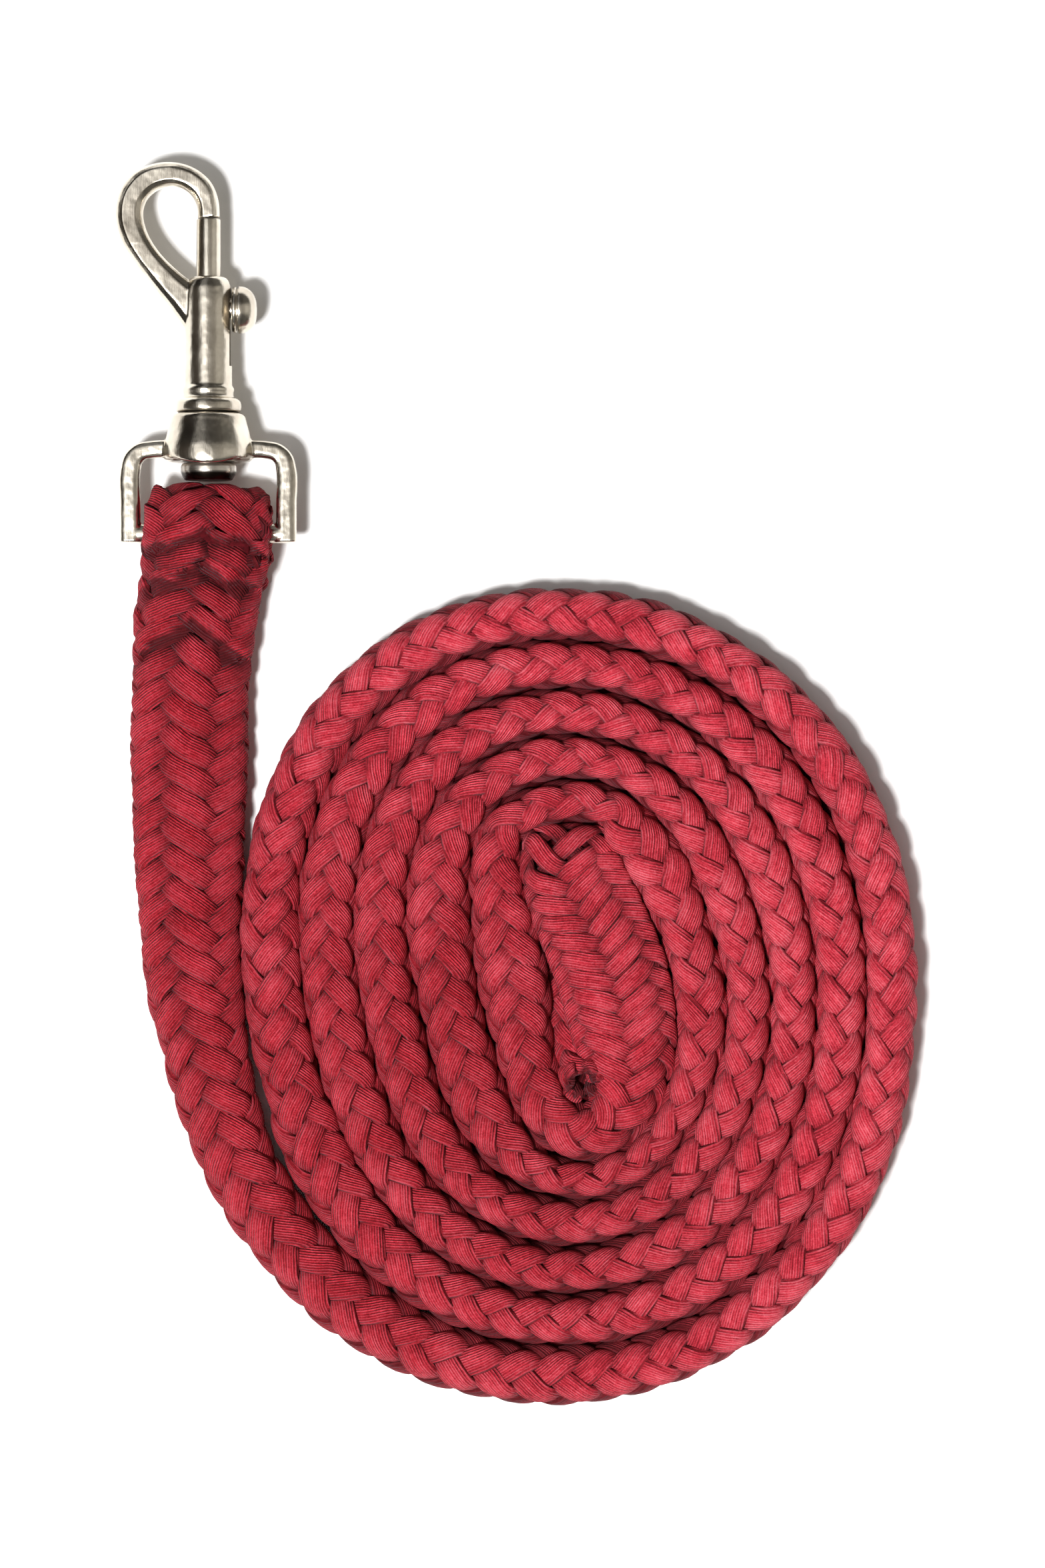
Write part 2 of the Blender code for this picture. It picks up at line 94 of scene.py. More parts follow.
def through(rows, step):
    """Rows of (x, y, z, more columns) sampled every `step` along a smooth curve through all of them."""
    rows = np.array(rows, float)
    h = np.linalg.norm(np.diff(rows[:, :3], axis=0), axis=1)
    t = np.concatenate([[0.0], np.cumsum(h)])
    slope = np.diff(rows, axis=0) / h[:, None]
    m = np.empty_like(rows)
    m[0], m[-1] = slope[0], slope[-1]
    w = (h[1:] / (h[1:] + h[:-1]))[:, None]
    m[1:-1] = slope[:-1] * w + slope[1:] * (1 - w)
    at = np.linspace(0, t[-1], int(t[-1] / step) + 1)
    k = np.clip(np.searchsorted(t, at, side="right") - 1, 0, len(h) - 1)
    f = ((at - t[k]) / h[k])[:, None]
    hk = h[k][:, None]
    return (
        rows[k] * (2 * f**3 - 3 * f**2 + 1)
        + m[k] * hk * (f**3 - 2 * f**2 + f)
        + rows[k + 1] * (-2 * f**3 + 3 * f**2)
        + m[k + 1] * hk * (f**3 - f**2)
    )


def wander(s, seed, waves, size):
    """A smooth random curve over s: a few sine waves with random phases, about `size` high."""
    rng = np.random.default_rng(seed)
    out = np.zeros_like(s)
    for w in waves:
        out += np.sin(2 * math.pi * (s / (w * rng.uniform(0.85, 1.15)) + rng.uniform()))
    return out * size / math.sqrt(len(waves) / 2.0) / 1.4


def soften(a, count):
    """A running mean over the samples, along axis 0."""
    kernel = np.hanning(count + 2)[1:-1]
    kernel /= kernel.sum()
    pad = count // 2
    padded = np.concatenate([np.repeat(a[:1], pad, 0), a, np.repeat(a[-1:], pad, 0)])
    return np.stack([np.convolve(padded[:, k], kernel, "valid") for k in range(a.shape[1])], 1)[: len(a)]


def mesh_object(name, verts, quads, uv=None, material_index=None, attributes=(), smooth=True):
    """A mesh from arrays. quads is (n, 4); uv is (n, 4, 2); attributes are (name, type, per-vertex values)."""
    me = bpy.data.meshes.new(name)
    me.vertices.add(len(verts))
    me.vertices.foreach_set("co", (np.asarray(verts, float) * MM).astype(np.float32).ravel())
    me.loops.add(quads.size)
    me.loops.foreach_set("vertex_index", quads.astype(np.int32).ravel())
    me.polygons.add(len(quads))
    me.polygons.foreach_set("loop_start", np.arange(0, quads.size, 4, dtype=np.int32))
    me.polygons.foreach_set("loop_total", np.full(len(quads), 4, dtype=np.int32))
    if material_index is not None:
        me.polygons.foreach_set("material_index", material_index.astype(np.int32))
    me.polygons.foreach_set("use_smooth", np.full(len(quads), smooth))
    for key, kind, values in attributes:
        a = me.attributes.new(key, kind, "POINT")
        a.data.foreach_set("vector" if kind == "FLOAT_VECTOR" else "value", values.astype(np.float32).ravel())
    if uv is not None:
        layer = me.uv_layers.new(name="OFBake")
        layer.data.foreach_set("uv", uv.astype(np.float32).ravel())
    me.update(calc_edges=True)
    me.validate()
    obj = bpy.data.objects.new(name, me)
    bpy.context.scene.collection.objects.link(obj)
    return obj


# ==== the rope's route ==============================================================================
# Every row is x, y, z, half width, half height, roll of the section's outer face (degrees), lay, and the
# place of the braid's columns round the section (in twelfths of a turn).

COIL_CENTRE = (92.8, -107.4)
COIL_START = 205.0
COIL_END = 1921.0
OVAL = (
    (-9.0, 0.75, 2.1, 0.0),
    (-6.0, -0.4, -1.05, -0.2),
    (0.85, 0.3, 0.65, -0.15),
    (-0.65, 0.25, 0.1, -0.1),
)


def coil_radius(turned):
    a, t = math.radians(turned), (turned - 200) / 360
    r = 89.4 - 13.26 * t + 0.26 * t * t + 4.8 * math.exp(-(turned - 200) / 40)
    for n, (even, even_t, odd, odd_t) in enumerate(OVAL, 1):
        r += (even + even_t * t) * math.cos(n * a) + (odd + odd_t * t) * math.sin(n * a)
    return r


# The middle: u, v, z, half width, half height and lay, down its left side, round, and up again while the rope
# lies down flat.
MIDDLE = (
    (68.2, -79.1, 8.7, 6.4, 8.7, 55, 0.5),
    (69.2, -87.8, 8.7, 7.2, 8.7, 53, 0.5),
    (70.6, -95.7, 8.8, 8.1, 8.8, 52, 0.5),
    (71.9, -103.6, 8.8, 8.8, 8.8, 50, 0.5),
    (73.3, -111.5, 8.7, 8.5, 8.7, 50, 0.5),
    (74.5, -119.4, 8.6, 7.4, 8.6, 50, 0.5),
    (76.4, -127.3, 8.6, 7.0, 8.6, 50, 0.5),
    (79.2, -134.9, 8.6, 6.9, 8.6, 50, 0.5),
    (83.8, -140.4, 8.6, 7.0, 8.6, 50, 0.5),
    (89.9, -142.2, 8.6, 7.1, 8.6, 49, 0.5),
    (95.6, -139.3, 8.8, 7.6, 8.3, 46, 0.5),
    (99.0, -133.4, 9.3, 8.8, 7.7, 42, 0.5),
    (99.6, -126.4, 10.3, 10.9, 6.8, 38, 0.5),
    (98.8, -119.3, 11.5, 12.6, 5.7, 35, 0.5),
    (97.4, -112.0, 12.3, 13.2, 4.9, 33, 0.5),
    (95.6, -104.3, 12.7, 13.2, 4.5, 31, 0.4),
    (92.9, -97.1, 13.0, 13.3, 4.3, 30, 0.4),
    (89.9, -89.9, 13.0, 13.1, 4.3, 29, 0.2),
    (86.9, -82.9, 13.0, 12.5, 4.2, 30, 0.0),
)


def pressed_half_width(turned):
    """The turns press against each other, so a turn is half as wide as the pitch there."""
    free = 6.3 + 2.8 * math.exp(-((max(turned - COIL_START, 0.0) / 50.0) ** 2))
    if turned < 440:
        return free
    out = coil_radius(turned - 360) - coil_radius(turned) if turned > 560 else 14.0
    inn = coil_radius(turned) - coil_radius(turned + 360) if turned < 1561 else out
    mix = min(max((turned - 440) / 110, 0.0), 1.0)
    return free + (min(max(0.25 * 1.06 * (out + inn), 5.2), 8.3) - free) * mix


def middle_edge():
    """The outer edge of the middle as (angle round the coil's centre, distance from it)."""
    out = []
    for turned in (1885, 1903, 1921):
        out.append((turned - 1800.0, coil_radius(turned) - 0.0 + pressed_half_width(turned)))
    rows = np.array(MIDDLE)[:, :4]
    run = np.gradient(rows[:, :2], axis=0)
    run /= np.linalg.norm(run, axis=1, keepdims=True)
    edge = rows[:, :2] + np.stack([run[:, 1], -run[:, 0]], 1) * rows[:, 3:4]
    for u, v in list(edge[1:]) + [(98.5, -75.5), (96.5, -70.0), (86.5, -68.0)]:
        du, dv = u - COIL_CENTRE[0], v - COIL_CENTRE[1]
        angle = math.degrees(math.atan2(dv, du))
        while angle < out[-1][0] - 60:
            angle += 360
        out.append((angle, math.hypot(du, dv)))
    return np.array(out)


EDGE = middle_edge()


def turn_at(turned):
    """(distance from the coil's centre, half width) of the rope after this many degrees."""
    r, a = coil_radius(turned), pressed_half_width(turned)
    if turned <= 1561:
        return r, a
    outer = coil_radius(turned - 360) - pressed_half_width(turned - 360)
    inner = float(np.interp(turned - 1440, EDGE[:, 0], EDGE[:, 1]))
    w = min((turned - 1561) / 40, 1.0) * min(max((1950 - turned) / 60, 0.0), 1.0)
    fit = min(max((outer - inner) / 2 * 1.05, 5.2), 8.3)
    return r + ((outer + inner) / 2 - r) * w, a + (fit - a) * w


def route():
    rows = []

    def add(u, v, z, a, b, roll, lay, columns):
        rows.append((*world(u, v, z), a, b, roll, lay, columns))

    # The layer under the crossbar, then round it, and back over the top.
    add(0.0, -24.0, 6.2, 8.5, 2.4, 180, 40, 0.5)
    add(0.0, -15.0, 5.2, 12.0, 3.2, 180, 40, 0.5)
    add(0.0, -7.0, 4.6, 14.2, 3.9, 180, 40, 0.5)
    for k in range(0, 7):
        a = math.radians(30 * k)
        out = math.degrees(math.atan2(math.sin(a) / 8.2, -math.cos(a) / 6.4))
        width = 14.9 - 1.5 * math.sin(a) ** 4
        add(0.3 * math.sin(a), 8.45 * math.sin(a), AXIS_Z - 6.4 * math.cos(a), width, 4.0, out, 40, 0.5)
    add(-0.5, -3.6, 15.9, 15.2, 5.3, 0, 40, 0.5)
    add(-0.9, -6.6, 13.0, 15.2, 7.5, 0, 40, 0.5)
    add(-1.6, -10.0, 10.4, 15.1, 9.1, 0, 40, 0.55)
    # The spliced stretch, with the tail inside it.
    add(-2.8, -17.5, 8.7, 15.0, 8.6, 0, 42, 0.7)
    add(-4.2, -31.0, 7.4, 14.6, 7.3, 0, 43, 1.3)
    add(-4.7, -46.0, 7.1, 14.3, 7.1, 0, 43, 1.5)
    add(-4.8, -61.5, 7.1, 14.0, 7.1, 0, 43, 1.5)
    add(-4.8, -77.0, 7.2, 13.5, 7.2, 0, 44, 1.5)
    add(-4.5, -92.5, 7.3, 12.6, 7.3, 0, 46, 1.4)
    add(-3.4, -107.4, 7.5, 11.7, 7.5, 0, 48, 1.2)
    add(-0.6, -124.0, 7.9, 10.4, 7.9, 0, 51, 0.9)
    add(3.6, -139.9, 8.2, 9.6, 8.2, 0, 54, 0.65)
    # The coil.
    turned = COIL_START
    while turned <= COIL_END:
        a = math.radians(turned)
        r, half = turn_at(turned)
        # the braid rolls over and back on the outermost turn
        columns = np.interp(turned, (205, 330, 440, 470, 620), (0.6, 0.5, -1.5, -1.5, 0.5))
        if turned > 500:  # a little room between the turns at the coil's top and bottom
            half *= 1 - 0.06 * math.sin(a) ** 2
        add(COIL_CENTRE[0] + r * math.cos(a), COIL_CENTRE[1] + r * math.sin(a), 8.75, half, 8.75, 0, 56, columns)
        turned += 6.0
    for u, v, z, a, b, lay, columns in MIDDLE:
        add(u, v, z, a, b, 0, lay, columns)
    for k in range(0, 7):  # it folds over at the top
        a = math.radians(30 * k)
        add(
            85.3 + 0.8 * k / 6,
            -76.6 + 4.3 * math.sin(a),
            8.7 + 4.3 * math.cos(a),
            11.4 - 1.2 * k / 6,
            4.1,
            -30 * k,
            32,
            0.0,
        )
    for u, v, z, a, b, lay in (
        (86.8, -86.0, 4.4, 9.6, 4.1, 38),
        (87.4, -97.0, 4.5, 8.8, 4.3, 41),
        (87.3, -108.6, 4.7, 8.0, 4.6, 43),
        (86.7, -118.0, 5.4, 6.8, 5.0, 43),
        (87.3, -123.6, 7.4, 5.6, 5.2, 41),
    ):
        add(u, v, z, a, b, -180, lay, 0.0)
    add(88.3, -128.6, 11.8, 5.2, 5.2, -215, 40, 0.0)
    add(88.8, -129.9, 14.6, 4.9, 4.9, -255, 38, 0.0)
    return rows


STEP = 0.5
line = through(route(), STEP)
point = line[:, :3]
tangent = unit(np.gradient(point, axis=0))
roll = np.radians(line[:, 5])
flat = np.hypot(tangent[:, 0], tangent[:, 1])
flip = np.where(np.cos(roll) < 0, -1.0, 1.0)
head = tangent[:, :2] * flip[:, None]
sure = (flat > 0.75) & (np.abs(np.cos(roll)) > 0.5)
index = np.arange(len(line))
head = np.stack([np.interp(index, index[sure], head[sure, k]) for k in (0, 1)], 1)
head = unit(soften(unit(head), 13))
heading = np.concatenate([head, np.zeros((len(head), 1))], 1)
up = np.array([[0.0, 0.0, 1.0]])
axis_n = np.cross(heading, np.repeat(up, len(heading), 0))
axis_b = np.cos(roll)[:, None] * up - np.sin(roll)[:, None] * heading
travel = np.concatenate([[0.0], np.cumsum(np.linalg.norm(np.diff(point, axis=0), axis=1))])
turns = np.concatenate([[0.0], np.cumsum(np.diff(travel) / (0.5 * (line[1:, 6] + line[:-1, 6])))])

# Samples at even steps of the braid, so that short lays get finer ones.
PER_LAY = 64
count = int(turns[-1] * PER_LAY)
at = np.interp(np.linspace(0, turns[-1], count), turns, travel)


def sampled(a):
    a = np.asarray(a, float)
    if a.ndim == 1:
        return np.interp(at, travel, a)
    return np.stack([np.interp(at, travel, a[:, k]) for k in range(a.shape[1])], 1)


P, N, B = sampled(point), unit(sampled(axis_n)), unit(sampled(axis_b))
HALF_W, HALF_H, LAY, COLUMNS = (sampled(line[:, k]) for k in (3, 4, 6, 7))
PHASE = sampled(turns)
S = at
V = P[:, 1] - STEM_Y
U = P[:, 0] - STEM_X
HALF_W = HALF_W + wander(S, 11, (31, 47, 83), 0.16)
HALF_H = HALF_H + wander(S, 12, (37, 59), 0.14)
P = P + B * np.minimum(0, wander(S, 13, (29, 61), 0.15))[:, None]
OUTER_TURN = S[int(np.argmax((S > 700) & (V < -190) & (np.abs(U - COIL_CENTRE[0]) < 6)))]
STEEP = np.clip(1.4 * np.abs(unit(np.gradient(P, axis=0))[:, 2]), 0, 1)
UPRIGHT = np.abs(unit(np.gradient(P, axis=0))[:, 0]) ** 2  # 1 where the coil runs across, at its top and bottom
POWER = np.interp(S, (0, 55, 80, 120, 270), (2.0, 2.0, 2.3, 2.4, 2.05)) + 0.25 * (1 - UPRIGHT) * (S > 300)
flatness = np.clip((7.5 - HALF_H) / 3, 0, 1)
POWER = np.maximum(POWER, 2.05 + 0.4 * flatness)

# A quarter of each section, from its top to its side, at even steps of its length.
QUARTER = 40
grid = np.linspace(0, math.pi / 2, 140)
quarter_x, quarter_y, PERIMETER = np.empty((count, QUARTER + 1)), np.empty((count, QUARTER + 1)), np.empty(count)
even = np.linspace(0, 1, QUARTER + 1)
for k in range(count):
    x, y = HALF_W[k] * np.sin(grid) ** (2 / POWER[k]), HALF_H[k] * np.cos(grid) ** (2 / POWER[k])
    run = np.concatenate([[0.0], np.cumsum(np.hypot(np.diff(x), np.diff(y)))])
    PERIMETER[k] = 4 * run[-1]
    quarter_x[k] = np.interp(even * run[-1], run, x)
    quarter_y[k] = np.interp(even * run[-1], run, y)


def on_section(q):
    """The section's outer point and normal (across N, along B) at the fraction q of the way round from its top."""
    q = np.mod(q, 1.0) * 4
    quadrant = np.floor(q).astype(int) % 4
    f = q - np.floor(q)
    f = np.where(quadrant % 2 == 1, 1 - f, f) * QUARTER
    i = np.minimum(f.astype(int), QUARTER - 1)
    g = f - i
    row = np.arange(count)
    x = quarter_x[row, i] * (1 - g) + quarter_x[row, i + 1] * g
    y = quarter_y[row, i] * (1 - g) + quarter_y[row, i + 1] * g
    nx = (np.abs(x) / HALF_W) ** (POWER - 1) / HALF_W
    ny = (np.abs(y) / HALF_H) ** (POWER - 1) / HALF_H
    size = np.hypot(nx, ny)
    left = np.where(quadrant < 2, 1.0, -1.0)
    top = np.where((quadrant == 0) | (quadrant == 3), 1.0, -1.0)
    return x * left, y * top, nx / size * left, ny / size * top


# The spliced stretch is pulled tight and is a deeper red; over the coil a painted shade darkens the rope towards its
# lower left, and it is painted lighter further away, in place of light falling off across it.
# how far from the painted shade at the coil's lower left
RIM = np.clip((np.hypot(P[:, 0] - 40, P[:, 1] + 172) - 18) / 88, 0, 1)
TONE_AND_SHADE = np.clip((S - 150) / 170, 0.0, 1.0) * (0.18 + 0.82 * RIM**1.1)

THICK = 1.45  # half a strand's thickness
UNDER = 1.45  # half the depth between a strand that passes over and one that passes under
thin = np.clip(HALF_H / 6.0, 0.6, 1.0)

# The creases where the splice bunches up under the loop: height above the crossbar at the middle, how far
# they fall away to the sides, and depth.
CREASES = ((-0.4, 0.34, 4.2), (-8.4, 0.44, 4.6), (-20.6, 0.72, 4.0))


def crease_depth(across, v, topside):
    """How far the surface of the spliced stretch is drawn in at these places, and how much painted shade darkens the
    fold.
    """
    drawn_in, dark = np.zeros(across.shape), np.zeros(across.shape)
    near = ((V > -60) & (S > 30) & (S < 130))[:, None] * topside
    for n, (middle, fall, depth) in enumerate(CREASES):
        jag = 0.75 * np.sin(across * 0.55 + 1.7 * n) + 0.35 * np.sin(across * 1.35 + n)
        d = v - (middle - fall * np.abs(across - 0.8) + jag)
        below, above = np.minimum(d, 0), np.maximum(d, 0)
        drawn = np.where(d > 0, np.exp(-((above / 0.8) ** 2)), np.exp(below / 2.4)) * depth
        swollen = 1.1 * np.exp(-(((d - 2.6) / 1.7) ** 2))
        drawn_in += (drawn - swollen) * near
        # the painted shade along each fold
        dark += np.where(d > 0, np.exp(-((above / 1.0) ** 2)), np.exp(below / 2.3)) * near
    return drawn_in, dark


RING = np.array(
    [(math.cos(math.radians(a)), math.sin(math.radians(a)) ** 0.85 if 0 < a < 180 else 0.0) for a in range(0, 181, 30)]
    + [(-0.62, -0.72), (0.0, -0.88), (0.62, -0.72)]
)


def strand(number, kind):
    """One strand's rings: kind is +1 for the strands that turn one way and -1 for the others."""
    seed = 100 + number * 7 + (3 if kind > 0 else 0)
    columns = COLUMNS / 12
    q = columns + kind * PHASE + number / 6 + wander(S, seed, (23, 41), 0.0035)
    q = q + wander(S, seed + 6, (9.0, 15.0), 0.011) * np.clip((V + 30) / 16, 0, 1) * (S < 90)
    c = 12 * (q - columns)
    wave = np.cos(2 * math.pi * (c - 0.5) / 4)
    over = kind * np.tanh(1.35 * wave) / math.tanh(1.35)
    x, y, nx, ny = on_section(q)
    slant = np.arctan2(PERIMETER, LAY)
    wide = 0.5 * PERIMETER / 6 * np.cos(slant)
    belly = 0.5 + 0.5 * kind * wave
    half = wide * (0.74 + 0.38 * belly**0.7) * (1 + wander(S, seed + 1, (13, 29), 0.05))
    thick = THICK * thin * (0.92 + 0.16 * belly) * (1 + wander(S, seed + 2, (17, 37), 0.05))
    depth = THICK * thin + UNDER * thin * (1 - 0.5 * STEEP) * (1 - over) + wander(S, seed + 3, (11, 27), 0.13)
    depth = np.maximum(depth, THICK * thin * 0.92)
    crumpled = np.clip((V + 34) / 14, 0, 1) * (S < 90)
    depth = depth + np.abs(wander(S, seed + 4, (4.3, 6.1, 9.7), 0.40)) * crumpled
    half = half * (1 + 0.05 * crumpled + wander(S, seed + 5, (5.1, 8.3), 0.10) * crumpled * np.clip(ny, 0, 1))
    normal = N * nx[:, None] + B * ny[:, None]
    centre = P + N * x[:, None] + B * y[:, None] - normal * depth[:, None]
    t = unit(np.gradient(centre, axis=0))
    normal = unit(normal - t * np.sum(normal * t, 1)[:, None])
    width = np.cross(normal, t)
    ring = (
        centre[:, None, :]
        + width[:, None, :] * (half[:, None] * RING[None, :, 0])[:, :, None]
        + normal[:, None, :] * (thick[:, None] * RING[None, :, 1])[:, :, None]
    )
    from_line = np.sum((ring - P[:, None, :]) * N[:, None, :], axis=2)
    drawn_in, dark = crease_depth(from_line, ring[:, :, 1] + 42.875, np.clip(ny * 1.6 - 0.1, 0, 1)[:, None])
    ring = ring - B[:, None, :] * drawn_in[:, :, None]
    ring[:, :, 2] = np.maximum(ring[:, :, 2], 0.02)
    run = np.concatenate([[0.0], np.cumsum(np.linalg.norm(np.diff(centre, axis=0), axis=1))])
    across = half[:, None] * RING[None, :, 0]
    mark = np.stack([across, np.repeat(run[:, None], len(RING), 1), np.full(across.shape, float(number * 2 + (kind > 0)))], 2)
    # painted shade on the sides of the coil's turns, where the neighbouring turns shade them
    shade_beside = np.clip((0.62 - ny) / 0.62, 0, 1) * np.clip((S - 190) / 60, 0, 1) * ((x < 0) | (S > OUTER_TURN))
    shade_beside = shade_beside * (0.12 + 0.88 * UPRIGHT)
    # painted shade: strands passing under, the sides of the turns, the folds of the creases, the strands' edges and
    # their undersides are darkened in colour through this value
    painted_shade = np.repeat(((1 - over) / 2 + 0.70 * shade_beside)[:, None], len(RING), 1) + 1.1 * dark
    painted_shade = painted_shade + 0.44 * np.abs(RING[None, :, 0]) ** 2.6 + np.where(RING[None, :, 1] < 0, 0.3, 0.0)
    return ring, mark, painted_shade, run


def off_the_bar(co):
    """Where a strand would pass through the crossbar it lies pressed against it instead."""
    y, z = co[:, 1] - STEM_Y, co[:, 2] - AXIS_Z
    away = np.maximum(np.hypot(y, z), 1e-6)
    grow = np.where((away < 2.4) & (np.abs(co[:, 0] - STEM_X) < 13.6), 2.4 / away, 1.0)
    return np.column_stack([co[:, 0], STEM_Y + y * grow, AXIS_Z + z * grow])


def braid_piece(name, strands, core=None):
    verts, quads, uvs, marks, painted_shades, tones_and_shade, index_of = [], [], [], [], [], [], []
    base, k = 0, len(RING)
    built = [strand(n, kind) for n, kind in strands]
    total = sum(run[-1] for *_, run in built)
    row_long = math.sqrt(total * 15.0)
    rows = int(math.ceil(total / row_long)) + len(strands)
    row_now = 0
    for ring, mark, painted_shade, run in built:
        n = len(ring)
        verts.append(off_the_bar(ring.reshape(-1, 3)))
        marks.append(mark.reshape(-1, 3))
        painted_shades.append(painted_shade.reshape(-1))
        tones_and_shade.append(np.repeat(TONE_AND_SHADE, k))
        i = np.arange(n - 1)[:, None] * k + np.arange(k)[None, :]
        j = np.arange(n - 1)[:, None] * k + (np.arange(k)[None, :] + 1) % k
        face = np.stack([i, j, j + k, i + k], 2).reshape(-1, 4) + base
        quads.append(face)
        row = np.floor(run[:-1] / row_long)
        u0 = (run[:-1] - row * row_long) / row_long
        u1 = u0 + np.diff(run) / row_long
        v0 = (row + row_now + 0.04) / rows
        dv = 0.92 / rows / k
        a = np.arange(k)[None, :]
        uv = np.empty((n - 1, k, 4, 2))
        uv[..., 0, 0] = uv[..., 1, 0] = u0[:, None] * 0.99
        uv[..., 2, 0] = uv[..., 3, 0] = np.minimum(u1[:, None], 1.0) * 0.99
        uv[..., 0, 1] = uv[..., 3, 1] = v0[:, None] + a * dv
        uv[..., 1, 1] = uv[..., 2, 1] = v0[:, None] + (a + 1) * dv
        uvs.append(uv.reshape(-1, 4, 2))
        index_of.append(np.zeros(len(face), int))
        row_now += int(row[-1]) + 1
        # close both ends with four-sided caps
        for first, rev in ((0, True), ((n - 1) * k, False)):
            cap = np.array([[0, 2 * m + 1, 2 * m + 2, 2 * m + 3] for m in range((k - 2) // 2)]) + base + first
            if rev:
                cap = cap[:, ::-1]
            quads.append(cap)
            uvs.append(np.full((len(cap), 4, 2), 0.995))
            index_of.append(np.zeros(len(cap), int))
        base += n * k
    if core is not None:
        ring = core
        n, kk = ring.shape[:2]
        verts.append(ring.reshape(-1, 3))
        marks.append(np.zeros((n * kk, 3)))
        painted_shades.append(np.full(n * kk, 1.3))
        tones_and_shade.append(np.zeros(n * kk))
        i = np.arange(n - 1)[:, None] * kk + np.arange(kk)[None, :]
        j = np.arange(n - 1)[:, None] * kk + (np.arange(kk)[None, :] + 1) % kk
        face = np.stack([i, j, j + kk, i + kk], 2).reshape(-1, 4) + base
        quads.append(face)
        uvs.append(np.full((len(face), 4, 2), 0.9975))
        index_of.append(np.ones(len(face), int))
        for first, rev in ((0, True), ((n - 1) * kk, False)):
            cap = np.array([[0, 2 * m + 1, 2 * m + 2, 2 * m + 3] for m in range((kk - 2) // 2)]) + base + first
            if rev:
                cap = cap[:, ::-1]
            quads.append(cap)
            uvs.append(np.full((len(cap), 4, 2), 0.9975))
            index_of.append(np.ones(len(cap), int))
    return mesh_object(
        name,
        np.concatenate(verts),
        np.concatenate(quads),
        np.concatenate(uvs),
        np.concatenate(index_of),
        (
            ("braid", "FLOAT_VECTOR", np.concatenate(marks)),
            ("painted_shade", "FLOAT", np.concatenate(painted_shades)),
            ("tone_and_shade", "FLOAT", np.concatenate(tones_and_shade)),
        ),
    )


def core_rings():
    """The filling inside the braid, so that nothing shows through where the strands cross; it is painted dark as
    shade.
    """
    some = np.arange(0, count, 3)
    inset = THICK + 2 * UNDER + 0.1
    a = np.maximum(HALF_W - inset, 0.9)[some]
    b = np.maximum(HALF_H - inset * thin, 0.5)[some]
    turn = np.linspace(0, 2 * math.pi, 16, endpoint=False)
    across, high = a[:, None] * np.sin(turn)[None, :], b[:, None] * np.cos(turn)[None, :]
    # between two turns of the coil it swells a little towards the next one, low down
    swell = np.clip((S[some] - 240) / 40, 0, 1) * (HALF_H[some] > 8.2) * (STEEP[some] < 0.2)
    for k, share in ((9, 0.45), (10, 1.0), (11, 1.0)):
        wide = -(HALF_W[some] + 1.1) * share
        across[:, k] += (wide - across[:, k]) * swell
    ring = (
        P[some][:, None, :]
        + N[some][:, None, :] * across[:, :, None]
        + B[some][:, None, :] * high[:, :, None]
    )
    return ring[2:-4]


# ==== materials =====================================================================================


class Nodes:
    """A few short words for building a node material."""

    def __init__(self, name):
        self.mat = bpy.data.materials.new(name)
        self.mat.use_nodes = True
        self.tree = self.mat.node_tree
        self.shader = self.tree.nodes["Principled BSDF"]

    def node(self, kind, inputs=(), **settings):
        n = self.tree.nodes.new(kind)
        for key, value in settings.items():
            setattr(n, key, value)
        for key, value in dict(inputs).items():
            socket = n.inputs[key]
            if isinstance(value, bpy.types.NodeSocket):
                self.tree.links.new(value, socket)
            else:
                socket.default_value = value
        return n

    def math(self, operation, a, b=0.0, c=0.0, clamp=False):
        return self.node("ShaderNodeMath", {0: a, 1: b, 2: c}, operation=operation, use_clamp=clamp).outputs[0]

    def mix(self, fac, a, b, blend="MIX"):
        n = self.node("ShaderNodeMix", data_type="RGBA", blend_type=blend)
        for socket, value in ((n.inputs[0], fac), (n.inputs[6], a), (n.inputs[7], b)):
            if isinstance(value, bpy.types.NodeSocket):
                self.tree.links.new(value, socket)
            else:
                socket.default_value = value
        return n.outputs[2]

    def ramp(self, fac, stops, interpolation="LINEAR"):
        n = self.node("ShaderNodeValToRGB", {0: fac})
        n.color_ramp.interpolation = interpolation
        while len(n.color_ramp.elements) < len(stops):
            n.color_ramp.elements.new(0.5)
        for e, (place, colour) in zip(n.color_ramp.elements, stops):
            e.position = place
            e.color = (*colour, 1.0) if hasattr(colour, "__len__") else (colour, colour, colour, 1.0)
        return n.outputs[0]

    def noise(self, vector, scale, detail=3.0, roughness=0.55):
        return self.node(
            "ShaderNodeTexNoise",
            {"Vector": vector, "Scale": scale, "Detail": detail, "Roughness": roughness},
        ).outputs["Fac"]

    def set(self, name, value):
        socket = self.shader.inputs[name]
        if isinstance(value, bpy.types.NodeSocket):
            self.tree.links.new(value, socket)
        else:
            socket.default_value = value


def srgb(r, g, b):
    return tuple(((c / 255 + 0.055) / 1.055) ** 2.4 if c / 255 > 0.04045 else c / 255 / 12.92 for c in (r, g, b))


